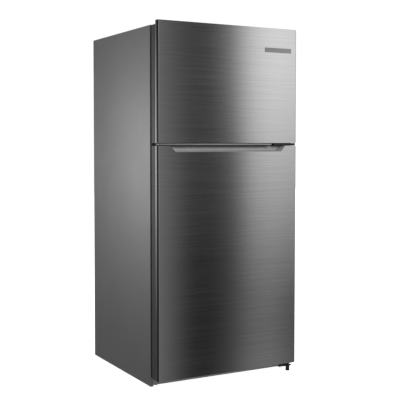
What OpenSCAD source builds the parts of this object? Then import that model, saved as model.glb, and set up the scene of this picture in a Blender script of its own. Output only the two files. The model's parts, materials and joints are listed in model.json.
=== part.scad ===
// Top freezer refrigerator: a free-standing cabinet with an upper freezer door and a lower
// fresh-food door, both hung on the right, on one vertical hinge line.
// Millimetres. +Z is up and +X is to the right for a person facing the doors, which face -Y.
// The origin is on the floor, under the middle of the whole object's outline.

/* [Cabinet] */
// Width of the cabinet and of both doors
cab_w = 750; // [600:5:900]
// Height of the cabinet, without its feet
cab_h = 1655; // [1450:5:2000]
// Depth of the cabinet, from its front plane to its back panel
cab_d = 684; // [600:2:820]
// Height of the cabinet's bottom edge above the floor
foot_h = 6; // [5:0.5:14]
// Thickness of the outer steel sheet
sheet_t = 1; // [0.6:0.1:1.5]
// Width of the steel flange round the cabinet's front
flange_w = 14; // [10:1:16]
// Radius of the cabinet's long upper edges
corner_r = 3; // [2:0.5:8]
// Gap that the rear spacers keep to the wall
rear_gap = 20; // [12:1:40]
// Diameter of each rear spacer
spacer_d = 26; // [16:1:40]

/* [Insulation and liners] */
// Foam at each side of the liners
foam_side = 42; // [34:1:60]
// Foam above the freezer
foam_top = 48; // [40:1:70]
// Foam behind the liners
foam_back = 50; // [40:1:70]
// Foam between the machine room and the fresh-food liner
foam_step = 46; // [30:1:60]
// Thickness of the moulded liners
liner_t = 2; // [1:0.25:3]
// Wall between freezer and fresh-food space, both liners included
mullion_t = 80; // [76:1:110]
// Height of the fresh-food floor above the cabinet's bottom edge
floor_h = 86; // [84:1:120]
// Half the height of the steel cross rail between the doors
rail_half = 17; // [15:1:19]
// Depth of the cross rail's channel
rail_d = 15; // [8:1:25]

/* [Machine room] */
// Depth of the machine room at the bottom rear
room_d = 215; // [200:1:240]
// Height of the machine room's ceiling above the cabinet's bottom edge
room_h = 285; // [270:1:330]
// Height of the compressor plate above the cabinet's bottom edge
plate_h = 18; // [16:1:24]
// Thickness of the compressor plate
plate_t = 2; // [1.5:0.5:4]
// Radius of the compressor's shell
comp_r = 68; // [55:1:75]
// Height of the compressor's straight wall
comp_wall = 78; // [50:1:100]
// Radius of the rubber mounts under the compressor
rubber_r = 12; // [8:1:16]
// Height of the rubber mounts
rubber_h = 16; // [10:1:24]
// Outer radius of the refrigerant tubes
tube_r = 4; // [3:0.25:6]
// Radius of each rear roller
roller_r = 15; // [13:0.5:17]
// Width of each rear roller
roller_w = 14; // [10:1:20]
// Radius of the roller axles
axle_r = 3; // [2:0.25:5]

/* [Doors] */
// Height of the middle of the gap between the doors above the floor
split_h = 1120; // [950:5:1250]
// Gap between the two doors
door_gap = 13; // [12:0.5:20]
// Thickness of a door without its gasket
door_t = 68; // [60:1:85]
// Thickness of the gasket between door and cabinet
seal_t = 13; // [10:0.5:16]
// Width of the gasket
seal_w = 16; // [12:1:18]
// Distance of the gasket from the door's outer edge
seal_in = 17; // [16.5:0.5:19]
// Rise of the upper door's steel edge above the cabinet's top
door_lip = 14; // [4:1:20]
// Thickness of that raised edge
lip_t = 8; // [4:0.5:10]
// Height of the lower door's bottom above the cabinet's bottom edge
door_base = 40.5; // [40:0.5:60]
// Depth of the steel skin's return round the door's sides
skin_wrap = 25; // [15:1:27]
// Outer bend radius of the steel skin
bend_r = 6; // [3:0.5:8]
// Wall of the door frame
frame_t = 4; // [3:0.5:6]
// Half the width of the door bins
bin_half = 298; // [220:1:298]
// How far the door bins reach into the cabinet
bin_reach = 75; // [50:1:80]
// Wall of the door bins
bin_t = 2.5; // [2:0.25:4]
// How far the door liner's ribs reach into the cabinet
rib_reach = 35; // [20:1:45]
// Width of those ribs
rib_w = 16; // [12:1:18]

/* [Grip pocket] */
// Half the pocket's width at the door's top edge
grip_top = 314; // [200:1:314]
// Half the pocket's width at its lower edge
grip_low = 286; // [180:1:290]
// Height of the pocket
grip_h = 28; // [22:1:40]
// Depth of the pocket
grip_d = 34; // [24:1:40]
// Splay of the pocket's walls towards its back
grip_splay = 12; // [6:1:16]
// Thickness of the moulding round the pocket
grip_wall = 6; // [4:0.5:8]

/* [Hinges] */
// Distance of the hinge line from the cabinet's side
hinge_in = 20; // [18:0.5:24]
// Distance of the hinge line in front of the cabinet
hinge_out = 45; // [43:0.5:50]
// Radius of the hinge pins
pin_r = 5; // [4:0.25:6]
// Depth of each pin in its bush
pin_l = 16; // [12:1:20]
// Radial clearance of a pin in its bush, and of every other shaft
run_gap = 0.05; // [0.02:0.01:0.1]
// Wall of the hinge bushes
bush_t = 3; // [2:0.25:4]
// Thickness of the middle and bottom hinge plates
hinge_t = 4; // [3:0.5:5]
// Thickness of the top hinge plate
top_hinge_t = 3; // [2:0.5:4]
// Radius of the spare screw holes for left-hand hinges
spare_r = 2.6; // [2:0.1:3.5]
// Distance between the spare screw holes
spare_step = 40; // [25:1:60]

/* [Interior] */
// Number of glass shelves in the fresh-food space
shelf_n = 3; // [1:1:4]
// Thickness of the glass shelves
glass_t = 4; // [3:0.5:6]
// Distance of the shelves' front edge behind the cabinet's front plane
shelf_in = 105; // [100:1:130]
// Height of the crisper space
crisper_h = 213; // [150:1:230]
// Wall of the crisper drawers
crisper_t = 2.5; // [2:0.25:4]
// Distance of the crispers' front behind the cabinet's front plane
crisper_in = 112; // [108:1:130]
// Half the width of the whole pair of crispers
crisper_half = 312; // [240:1:312]
// Depth of the air space behind the freezer's duct panel
duct_d = 62; // [56:1:80]
// Radius of the evaporator fan
evap_fan_r = 50; // [35:1:60]
// Radius of the condenser fan
cond_fan_r = 72; // [50:1:78]
// Radius of the temperature knob
knob_r = 16; // [12:0.5:17]
// Clearance between separate moving mouldings
part_gap = 0.5; // [0.3:0.1:1]

/* [Badge] */
// Width of the plain badge
badge_w = 150; // [60:1:180]
// Height of the plain badge
badge_h = 22; // [10:1:40]
// Thickness of the plain badge
badge_t = 1.2; // [0.8:0.1:3]

/* [Feet] */
// Radius of the levelling feet
foot_r = 10; // [8:0.5:12]
// Radius of their threaded stems
stem_r = 4; // [3:0.25:5]

/* [Hidden] */
$fn = 48;

// How far a cutting shape runs past the face it cuts
over = 1;

// Outer planes
half_w = cab_w / 2;
front_y = (badge_t - door_t - seal_t - cab_d - rear_gap) / 2;
door_back = front_y + door_t;
cab_y0 = door_back + seal_t;
cab_y1 = cab_y0 + cab_d;
cab_z0 = foot_h;
cab_z1 = cab_z0 + cab_h;
inner_x = half_w - sheet_t;

// Doors: the lower one stops at the gap, the upper one stops just under the top hinge plate
lower_z0 = cab_z0 + door_base;
lower_z1 = split_h - door_gap / 2;
upper_z0 = split_h + door_gap / 2;
top_gap = 3;
upper_z1 = cab_z1 - top_gap;
steel_z1 = cab_z1 + door_lip;
frame_x = inner_x - frame_t;

// Inside faces of the liners
in_x = inner_x - foam_side - liner_t;
in_y = cab_y1 - sheet_t - foam_back - liner_t;
freezer_z0 = split_h + mullion_t / 2;
freezer_z1 = cab_z1 - sheet_t - foam_top - liner_t;
fridge_z0 = cab_z0 + floor_h;
fridge_z1 = split_h - mullion_t / 2;

// Machine room and the step that it makes in the fresh-food liner
room_y0 = cab_y1 - room_d;
room_z1 = cab_z0 + room_h;
room_z0 = cab_z0 + plate_h + plate_t;
step_y = room_y0 - sheet_t - foam_step - liner_t;
step_z = room_z1 + sheet_t + foam_step + liner_t;

// Front edge of the cabinet: the kick plate ends where the liner's flange begins
open_x = half_w - flange_w;
kick_z0 = cab_z0 + 8;
kick_z1 = cab_z0 + 55;
kick_t = 1.5;
toe_d = 20;

// Hinge line
hinge_x = half_w - hinge_in;
hinge_y = cab_y0 - hinge_out;
bush_r = pin_r + bush_t;
hinge_x1 = half_w - 4;
hinge_y0 = hinge_y - 13;
bracket_t = 3;
mid_x0 = hinge_x - 109;
screw_r = 2.8;
screw_hole_r = 3;
top_screw_xs = [hinge_x - 60, hinge_x - 24];
top_screw_y = cab_y0 + 45;
mid_screw_xs = [mid_x0 + 12, mid_x0 + 32];
mid_half = 14;
low_hinge_z1 = lower_z0 - door_gap / 2 + hinge_t / 2;
low_hinge_x0 = hinge_x - 26;
boss_half = 17;
boss_l = pin_l + 4;

// Crispers, shelves and their runners
cover_z = fridge_z0 + crisper_h;
cover_t = 6;
shelf_y0 = cab_y0 + shelf_in;
shelf_y1 = in_y - 28;
shelf_step = (fridge_z1 - cover_z) / (shelf_n + 1);
shelf_x = in_x - 3;
trim_d = 12;
trim_t = 4;
runner_w = 9;
runner_h = 10;
wire_shelf_z = (freezer_z0 + freezer_z1) / 2;
wire_r = 3;
wire_fine_r = 1.6;

// Freezer duct
duct_y = in_y - duct_d;
duct_t = 2.5;
evap_z0 = freezer_z0 + 40;
evap_rows = 7;
evap_step = 26;
fan_z = freezer_z1 - evap_fan_r - 40;
slider_z = freezer_z0 + 30;

// Machine room contents
comp_x = half_w - 190;
comp_y = (room_y0 + cab_y1) / 2;
comp_z0 = room_z0 + rubber_h + 3;
coil_x0 = -half_w + 50;
coil_x1 = coil_x0 + 220;
coil_rows = 5;
coil_cols = 4;
coil_step = 32;
fan_x = coil_x1 + 60;
room_fan_z = room_z0 + cond_fan_r + 32;

// Feet and rollers
foot_left_x = -half_w + 45;
foot_left_y = cab_y0 + 42;
foot_pad = foot_h - 1;
boss_h = 20;
foot_plate_z = low_hinge_z1 - 16;
roller_x = half_w - 60;
roller_y = cab_y1 - 60;
motor_gap = 5;
inlet_z = room_z0 + 64;
inlet_r = 11;
cord_r = 4;
ear_t = 2.5;
ear_gap = part_gap;

// Door bins and dairy compartment
bin_y0 = door_back + part_gap;
bin_y1 = cab_y0 + bin_reach;
switch_h = 24;
dairy_z1 = fridge_z1 - switch_h - 6;
dairy_z0 = dairy_z1 - 100;
flap_r = 5;
flap_pin_r = 2.5;
flap_z = dairy_z1 - bin_t - 10;
flap_y = bin_y1 - 8;

// Control box, door switch and the sliding controls
control_y0 = cab_y0 + 125;
control_y1 = control_y0 + 140;
control_half = 130;
control_h = 42;
knob_x = 70;
knob_z = fridge_z1 - control_h / 2;
shaft_r = 3;
switch_x = -200;
switch_y0 = cab_y0 + 6;
switch_z = fridge_z1 - switch_h / 2;
plunger_r = 4;
tab_w = 28;
tab_stem = 3.4;
tab_play = 0.3;
stem_half = 6;
stem_in = 2;
clip_half = 4;
clip_out = 2.2;
slot_half = 2;
slide_rail_t = 4;
slide_y0 = cab_y0 + shelf_in - 2;
humidity_z = cover_z - 12;
slot_l = 70;

// A box between two opposite corners
module block(low, high) {
    translate(low)
        cube(high - low);
}

// A cylinder between two heights, standing at (x, y)
module post(x, y, z0, z1, r) {
    translate([x, y, z0])
        cylinder(h = z1 - z0, r = r);
}

// A cylinder along X from x0 to x1
module bar_x(x0, x1, y, z, r) {
    translate([x0, y, z])
        rotate([0, 90, 0])
            cylinder(h = x1 - x0, r = r);
}

// A cylinder along Y from y0 to y1
module bar_y(x, y0, y1, z, r) {
    translate([x, y0, z])
        rotate([-90, 0, 0])
            cylinder(h = y1 - y0, r = r);
}

// ---------------------------------------------------------------- cabinet

// Outline of the cabinet seen from the front, its two upper corners rounded
module cabinet_outline(inset, low, high) {
    x = half_w - inset;
    r = corner_r;
    union() {
        translate([-x, low])
            square([2 * x, high - low - r]);
        translate([-x + r, low])
            square([2 * (x - r), high - low]);
        for (side = [-1, 1])
            translate([side * (x - r), high - r])
                circle(r = r);
    }
}

// Both sides and the top, bent from one sheet, with a flange round the front
module cabinet_wrap() {
    color("#8a8d90")
    difference() {
        translate([0, cab_y1, 0])
            rotate([90, 0, 0])
                linear_extrude(height = cab_d)
                    cabinet_outline(0, cab_z0, cab_z1);
        translate([0, cab_y1 + over, 0])
            rotate([90, 0, 0])
                linear_extrude(height = cab_d + over - sheet_t)
                    cabinet_outline(sheet_t, cab_z0 - over, cab_z1 - sheet_t);
        block([-open_x, cab_y0 - over, cab_z0 - over],
              [open_x, cab_y0 + sheet_t + over, cab_z1 - flange_w]);
        for (i = [0, 1])
            post(-hinge_x + 20, cab_y0 + 20 + i * spare_step, cab_z1 - flange_w, cab_z1 + over, spare_r);
    }
}

module back_panel() {
    color("#9a9c9e")
    block([-inner_x, cab_y1 - sheet_t, room_z1 + sheet_t],
          [inner_x, cab_y1, cab_z1 - sheet_t - corner_r]);
}

// Bent floor of the cabinet: front plate, riser and ceiling of the machine room, and the
// plate that carries the compressor, the rear rollers and the front left foot
module base_pan() {
    roller_room = 2;
    color("#77797b")
    difference() {
        union() {
            block([-inner_x, cab_y0 + toe_d, cab_z0], [inner_x, room_y0, cab_z0 + sheet_t]);
            block([-inner_x, room_y0 - sheet_t, cab_z0], [inner_x, room_y0, room_z1 + sheet_t]);
            block([-inner_x, room_y0 - sheet_t, room_z1], [inner_x, cab_y1 - sheet_t, room_z1 + sheet_t]);
            block([-inner_x, room_y0 - sheet_t, room_z0 - plate_t], [inner_x, cab_y1 - 12, room_z0]);
            post(foot_left_x, foot_left_y, cab_z0, cab_z0 + boss_h, stem_r + 5);
            for (side = [-1, 1])
                roller_bracket(side * roller_x);
        }
        post(foot_left_x, foot_left_y, cab_z0 - over, cab_z0 + boss_h + over, stem_r + run_gap);
        for (side = [-1, 1])
            block([side * roller_x - roller_w / 2 - ear_gap, roller_y - roller_r - roller_room,
                   room_z0 - plate_t - over],
                  [side * roller_x + roller_w / 2 + ear_gap, roller_y + roller_r + roller_room,
                   room_z0 + over]);
    }
}

// Two ears under the compressor plate and the fixed axle between them
module roller_bracket(x) {
    reach = roller_w / 2 + ear_gap;
    ear_half = 9;
    for (side = [-1, 1])
        block([x + side * (reach + ear_t / 2) - ear_t / 2, roller_y - ear_half, roller_r - axle_r - 2],
              [x + side * (reach + ear_t / 2) + ear_t / 2, roller_y + ear_half, room_z0 - plate_t / 2]);
    bar_x(x - reach - ear_t / 2, x + reach + ear_t / 2, roller_y, roller_r, axle_r);
}

// Inside of the freezer space, grown by g on every closed side
module freezer_space(g) {
    block([-in_x - g, cab_y0 - over, freezer_z0 - g], [in_x + g, in_y + g, freezer_z1 + g]);
}

// Inside of the fresh-food space with the step over the machine room, grown by g
module fridge_space(g) {
    difference() {
        block([-in_x - g, cab_y0 - over, fridge_z0 - g], [in_x + g, in_y + g, fridge_z1 + g]);
        block([-half_w, step_y + g, cab_z0], [half_w, cab_y1, step_z - g]);
    }
}

// Foamed-in insulation: all the room between the steel and the liners
module insulation_foam() {
    color("#e8dcb0")
    difference() {
        block([-inner_x, cab_y0 + liner_t, cab_z0 + sheet_t],
              [inner_x, cab_y1 - sheet_t, cab_z1 - sheet_t - corner_r]);
        freezer_space(liner_t);
        fridge_space(liner_t);
        block([-half_w, room_y0 - sheet_t, cab_z0], [half_w, cab_y1, room_z1 + sheet_t]);
        block([-half_w, cab_y0, split_h - rail_half], [half_w, cab_y0 + rail_d, split_h + rail_half]);
        block([-half_w, cab_y0, cab_z0], [half_w, cab_y0 + toe_d, kick_z1]);
        post(foot_left_x, foot_left_y, cab_z0, cab_z0 + boss_h + 12, stem_r + 5 + part_gap);
    }
}

module freezer_liner() {
    color("#eef0f0")
    difference() {
        union() {
            intersection() {
                freezer_space(liner_t);
                block([-half_w, cab_y0, cab_z0], [half_w, cab_y1, cab_z1]);
            }
            block([-open_x, cab_y0, split_h + rail_half], [open_x, cab_y0 + liner_t, cab_z1 - flange_w]);
        }
        freezer_space(0);
    }
}

module fridge_liner() {
    color("#eef0f0")
    difference() {
        union() {
            intersection() {
                fridge_space(liner_t);
                block([-half_w, cab_y0, cab_z0], [half_w, cab_y1, cab_z1]);
            }
            block([-open_x, cab_y0, kick_z1], [open_x, cab_y0 + liner_t, split_h - rail_half]);
        }
        fridge_space(0);
    }
}

// Steel channel across the front between the two spaces, with spare screw holes at the left
module cross_rail() {
    color("#b9bbbd")
    difference() {
        block([-open_x, cab_y0, split_h - rail_half], [open_x, cab_y0 + rail_d, split_h + rail_half]);
        block([-half_w, cab_y0 + sheet_t, split_h - rail_half + sheet_t],
              [half_w, cab_y0 + rail_d + over, split_h + rail_half - sheet_t]);
        for (i = [0, 1])
            bar_y(-mid_x0 + 10 - i * spare_step, cab_y0 - over, cab_y0 + sheet_t + over, split_h, spare_r);
    }
}

// Strip across the bottom of the front, ending beside the bottom hinge
module kick_plate() {
    lip = 10;
    color("#a9abad")
    union() {
        block([-open_x, cab_y0, kick_z0], [low_hinge_x0 - 2, cab_y0 + kick_t, kick_z1]);
        block([-open_x, cab_y0, kick_z0], [low_hinge_x0 - 2, cab_y0 + lip, kick_z0 + kick_t]);
    }
}

// ---------------------------------------------------------------- hinges

// Flat plate on the cabinet's top: an arm runs forward and to the right, and carries a pin that
// points down into the upper door
module top_hinge() {
    arm = 10 * sqrt(0.5);
    reach = 60;
    foot_y0 = hinge_out + 4;
    foot_y1 = hinge_out + 70;
    color("#3a3b3d")
    difference() {
        translate([hinge_x, hinge_y, 0])
            union() {
                translate([0, 0, cab_z1])
                    linear_extrude(height = top_hinge_t)
                        union() {
                            circle(r = pin_r + 7);
                            polygon([[arm, arm], [arm - reach, arm + reach],
                                     [-arm - reach, -arm + reach], [-arm, -arm]]);
                            translate([-75, foot_y0])
                                square([75 + hinge_in - 5, foot_y1 - foot_y0]);
                        }
                translate([0, 0, upper_z1 - pin_l])
                    cylinder(h = cab_z1 - upper_z1 + pin_l + over, r = pin_r);
            }
        for (x = top_screw_xs)
            post(x, top_screw_y, cab_z1 - over, cab_z1 + top_hinge_t + over, screw_hole_r);
    }
}

// Low plastic cover over the top hinge's screwed part
module hinge_cover() {
    low = [hinge_x - 80, cab_y0 + 1, cab_z1];
    high = [inner_x, cab_y0 + 80, cab_z1 + door_lip - 2];
    wall = [2, 2, 2];
    color("#4a4c4f")
    difference() {
        block(low, high);
        block(low + wall - [0, 0, 2 + over], high - wall);
        block([hinge_x - 70, cab_y0 - over, cab_z1 - over],
              [hinge_x - 22, cab_y0 + 4, cab_z1 + top_hinge_t + part_gap]);
    }
}

// Bracket on the cross rail: a horizontal plate in the gap between the doors carries one pin up
// into the upper door and one down into the lower door
module middle_hinge() {
    color("#303133")
    difference() {
        union() {
            block([low_hinge_x0 - 30, hinge_y0, split_h - hinge_t / 2],
                  [hinge_x1, cab_y0, split_h + hinge_t / 2]);
            block([mid_x0, cab_y0 - bracket_t, split_h - mid_half],
                  [hinge_x1, cab_y0, split_h + mid_half]);
            post(hinge_x, hinge_y, lower_z1 - pin_l, upper_z0 + pin_l, pin_r);
        }
        for (x = mid_screw_xs)
            bar_y(x, cab_y0 - bracket_t - over, cab_y0 + over, split_h, screw_hole_r);
    }
}

// Bracket at the bottom: an upper plate with the lower door's pin and a lower plate for the foot
module bottom_hinge() {
    color("#232425")
    difference() {
        union() {
            block([low_hinge_x0, hinge_y0, low_hinge_z1 - hinge_t], [hinge_x1, cab_y0, low_hinge_z1]);
            block([low_hinge_x0, cab_y0 - bracket_t, cab_z0 + 3], [hinge_x1, cab_y0, low_hinge_z1]);
            block([hinge_x - 15, hinge_y0, foot_plate_z], [hinge_x1, cab_y0, foot_plate_z + hinge_t]);
            post(hinge_x, hinge_y, low_hinge_z1 - hinge_t, lower_z0 + pin_l, pin_r);
        }
        post(hinge_x, hinge_y, foot_plate_z - over, foot_plate_z + hinge_t + over, stem_r + run_gap);
    }
}

// Pan-head screws that hold the top and middle hinges
module hinge_screws() {
    head_r = 5;
    head_h = 3;
    color("#c4c6c8")
    union() {
        for (x = top_screw_xs) {
            post(x, top_screw_y, cab_z1 + top_hinge_t, cab_z1 + top_hinge_t + head_h, head_r);
            post(x, top_screw_y, cab_z1, cab_z1 + top_hinge_t, screw_r);
        }
        for (x = mid_screw_xs) {
            bar_y(x, cab_y0 - bracket_t - head_h, cab_y0 - bracket_t, split_h, head_r);
            bar_y(x, cab_y0 - bracket_t, cab_y0, split_h, screw_r);
        }
    }
}

// ---------------------------------------------------------------- interior

// Wire shelf: two rods across the space and fine wires from front to back
module freezer_shelf() {
    wires = 24;
    x = in_x - 2;
    y1 = duct_y - 12;
    pitch = 2 * (x - 12) / (wires - 1);
    color("#f2f2f2")
    union() {
        for (y = [shelf_y0, (shelf_y0 + y1) / 2, y1])
            bar_x(-x, x, y, wire_shelf_z, wire_r, $fn = 24);
        for (i = [0:wires - 1])
            bar_y(-x + 12 + i * pitch, shelf_y0 - wire_r, y1 + wire_r,
                  wire_shelf_z + wire_r, wire_fine_r, $fn = 16);
    }
}

module glass_shelves() {
    color("#cfe3e0")
    for (i = [1:shelf_n])
        block([-shelf_x + 2, shelf_y0, cover_z + i * shelf_step],
              [shelf_x - 2, shelf_y1, cover_z + i * shelf_step + glass_t]);
}

// White trims along the glass edges, and the runners on the liners' side walls
module shelf_fittings() {
    color("#f4f5f5")
    union() {
        for (i = [1:shelf_n]) {
            z = cover_z + i * shelf_step;
            shelf_trim(shelf_y0 - trim_t, z);
            shelf_trim(shelf_y1 + trim_t - trim_d, z);
            runner_pair(z - trim_t, shelf_y1);
        }
        runner_pair(cover_z - cover_t, step_y - 6);
        runner_pair(wire_shelf_z - wire_r, duct_y - 6);
    }
}

// One trim: a strip with a groove for the glass
module shelf_trim(y, z) {
    difference() {
        block([-shelf_x, y, z - trim_t], [shelf_x, y + trim_d, z + glass_t + trim_t]);
        block([-shelf_x + 2, shelf_y0, z], [shelf_x - 2, shelf_y1, z + glass_t]);
    }
}

// Two ledges on the side walls, whose tops are at z
module runner_pair(z, y1) {
    for (side = [-1, 1])
        block([side * (in_x - runner_w / 2) - runner_w / 2, shelf_y0 - trim_t, z - runner_h],
              [side * (in_x - runner_w / 2) + runner_w / 2, y1, z]);
}

// Lid over both crispers, with a front rail whose two slots hold the humidity slides
module crisper_cover() {
    rail_low = 22;
    rail_high = 6;
    color("#eef1f2")
    difference() {
        union() {
            block([-shelf_x, slide_y0, cover_z - cover_t], [shelf_x, step_y - 4, cover_z]);
            block([-shelf_x + runner_w, slide_y0, cover_z - rail_low],
                  [shelf_x - runner_w, slide_y0 + slide_rail_t, cover_z + rail_high]);
        }
        for (side = [-1, 1])
            block([side * crisper_half / 2 - slot_l / 2, slide_y0 - over, humidity_z - slot_half],
                  [side * crisper_half / 2 + slot_l / 2, slide_y0 + slide_rail_t + over,
                   humidity_z + slot_half]);
    }
}

// Crisper drawer between x0 and x1, open at the top, with a pull lip along its front
module crisper(x0, x1) {
    y0 = cab_y0 + crisper_in;
    y1 = step_y - 6;
    z0 = fridge_z0 + part_gap;
    z1 = cover_z - 24;
    color("#dfe8ec")
    difference() {
        union() {
            block([x0, y0, z0], [x1, y1, z1]);
            block([x0 + 30, y0 - 10, z1 - 30], [x1 - 30, y0 + over, z1 - 26]);
        }
        block([x0 + crisper_t, y0 + 4, z0 + crisper_t], [x1 - crisper_t, y1 - crisper_t, z1 + over]);
    }
}

module crisper_left() { crisper(-crisper_half, -2); }

module crisper_right() { crisper(2, crisper_half); }

// Humidity slide: a tab in front of the cover's rail, a stem through the slot and a clip behind
module humidity_slide(x) {
    y1 = slide_y0 + slide_rail_t;
    tab_t = 5;
    tab_half_h = 6;
    color("#6f9fb5")
    union() {
        block([x - tab_w / 2, slide_y0 - tab_t, humidity_z - tab_half_h],
              [x + tab_w / 2, slide_y0 - tab_play, humidity_z + tab_half_h]);
        block([x - stem_half, slide_y0 - stem_in, humidity_z - tab_stem / 2],
              [x + stem_half, y1 + stem_in, humidity_z + tab_stem / 2]);
        block([x - stem_half, y1 + tab_play, humidity_z - clip_half],
              [x + stem_half, y1 + clip_out, humidity_z + clip_half]);
    }
}

module humidity_left() { humidity_slide(-crisper_half / 2); }

module humidity_right() { humidity_slide(crisper_half / 2); }

// Housing under the fresh-food ceiling for thermostat and lamp, open to the ceiling
module control_box() {
    wall = 2.5;
    color("#f6f7f7")
    difference() {
        block([-control_half, control_y0, fridge_z1 - control_h], [control_half, control_y1, fridge_z1]);
        block([-control_half + wall, control_y0 + wall, fridge_z1 - control_h + wall],
              [control_half - wall, control_y1 - wall, fridge_z1 + over]);
        bar_y(knob_x, control_y0 - over, control_y0 + wall + over, knob_z, shaft_r + run_gap);
    }
}

// Translucent lamp cover under the control box
module lamp_lens() {
    x0 = -100;
    x1 = 10;
    z1 = fridge_z1 - control_h;
    color("#fbfbf0")
    difference() {
        block([x0, control_y0 + 20, z1 - 12], [x1, control_y1 - 20, z1]);
        block([x0 + 2, control_y0 + 22, z1 - 10], [x1 - 2, control_y1 - 22, z1 + over]);
    }
}

// Temperature knob: a dial with a raised grip bar, on a shaft through the control box
module temperature_knob() {
    y1 = control_y0 - part_gap;
    color("#e9ebec")
    union() {
        bar_y(knob_x, y1 - 6, y1, knob_z, knob_r);
        block([knob_x - 3, y1 - 14, knob_z - knob_r + 2], [knob_x + 3, y1 - 5, knob_z + knob_r - 2]);
        bar_y(knob_x, y1 - over, control_y0 + 14, knob_z, shaft_r);
    }
}

// Switch body under the fresh-food ceiling, bored for its plunger
module door_switch() {
    body_half = 12;
    body_l = 34;
    color("#f0f1f1")
    difference() {
        block([switch_x - body_half, switch_y0, fridge_z1 - switch_h],
              [switch_x + body_half, switch_y0 + body_l, fridge_z1]);
        bar_y(switch_x, switch_y0 - over, switch_y0 + 26, switch_z, plunger_r + run_gap);
    }
}

module switch_plunger() {
    color("#fafafa")
    bar_y(switch_x, door_back + tab_play, switch_y0 + 18, switch_z, plunger_r);
}

// Panel in front of the evaporator: slots for the fan's air, a return slot row and the slider's slot
module duct_panel() {
    y0 = duct_y - over;
    y1 = duct_y + duct_t + over;
    fan_pitch = 11;
    fan_slot = 5;
    return_pitch = 40;
    return_half = 14;
    return_z = freezer_z0 + 14;
    return_h = 6;
    color("#e6e9ea")
    difference() {
        block([-in_x + part_gap, duct_y, freezer_z0 + part_gap],
              [in_x - part_gap, duct_y + duct_t, freezer_z1 - part_gap]);
        for (i = [-4:4]) {
            z = fan_z + i * fan_pitch;
            half = sqrt(pow(evap_fan_r, 2) - pow(i * fan_pitch, 2));
            block([-half, y0, z - fan_slot / 2], [half, y1, z + fan_slot / 2]);
        }
        for (i = [-6:6])
            if (abs(i) > 1)
                block([i * return_pitch - return_half, y0, return_z],
                      [i * return_pitch + return_half, y1, return_z + return_h]);
        block([-slot_l / 2, y0, slider_z - slot_half], [slot_l / 2, y1, slider_z + slot_half]);
    }
}

// Air slider on the duct panel: tab in front, stem through the slot, clip behind
module freezer_slider() {
    y1 = duct_y + duct_t;
    tab_t = 6;
    tab_half_h = 7;
    color("#4d88a8")
    union() {
        block([-tab_w / 2, duct_y - tab_t, slider_z - tab_half_h],
              [tab_w / 2, duct_y - tab_play, slider_z + tab_half_h]);
        block([-stem_half, duct_y - stem_in, slider_z - tab_stem / 2],
              [stem_half, y1 + stem_in, slider_z + tab_stem / 2]);
        block([-stem_half, y1 + tab_play, slider_z - clip_half],
              [stem_half, y1 + clip_out, slider_z + clip_half]);
    }
}

// Half of a ring that joins two tube runs which lie step apart, bulging along +X
module tube_bend(step, r) {
    rotate([0, 0, -90])
        rotate_extrude(angle = 180)
            translate([step / 2, 0])
                circle(r = r, $fn = 24);
}

// Serpentine tube through thin fins
module evaporator() {
    half = 240;
    y = in_y - duct_d / 2 + 4;
    fins = 24;
    fin_t = 0.6;
    fin_half = 16;
    fin_over = 12;
    color("#c9cdd0")
    union() {
        for (i = [0:evap_rows - 1])
            translate([-half, y, evap_z0 + i * evap_step])
                rotate([0, 90, 0])
                    cylinder(h = 2 * half, r = tube_r, $fn = 24);
        for (i = [0:evap_rows - 2])
            translate([i % 2 == 0 ? half : -half, y, evap_z0 + (i + 0.5) * evap_step])
                rotate([90, 0, i % 2 == 0 ? 0 : 180])
                    tube_bend(evap_step, tube_r);
        for (i = [0:fins - 1]) {
            x = -half + 20 + i * (2 * half - 40) / (fins - 1);
            block([x, y - fin_half, evap_z0 - fin_over],
                  [x + fin_t, y + fin_half, evap_z0 + (evap_rows - 1) * evap_step + fin_over]);
        }
    }
}

// Fan wheel at the origin, turning about Z: hub and pitched blades
module fan_wheel(r, hub_r, hub_h, bore) {
    blades = 5;
    pitch = 28;
    difference() {
        union() {
            cylinder(h = hub_h, r = hub_r);
            for (i = [0:blades - 1])
                rotate([0, 0, i * 360 / blades])
                    translate([(r + hub_r - 2) / 2, 0, hub_h / 2])
                        rotate([pitch, 0, 0])
                            cube([r - hub_r + 2, r * 0.62, 1.6], center = true);
        }
        translate([0, 0, -over])
            cylinder(h = hub_h * 0.7 + over, r = bore);
    }
}

module evaporator_fan() {
    color("#d9dcde")
    translate([0, duct_y + duct_t + 26, fan_z])
        rotate([90, 0, 0])
            fan_wheel(evap_fan_r - 4, 14, 14, shaft_r + run_gap);
}

module condenser_fan() {
    color("#3c3e40")
    translate([fan_x, comp_y, room_fan_z])
        rotate([0, -90, 0])
            fan_wheel(cond_fan_r - 4, 18, 16, shaft_r + run_gap);
}

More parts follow.
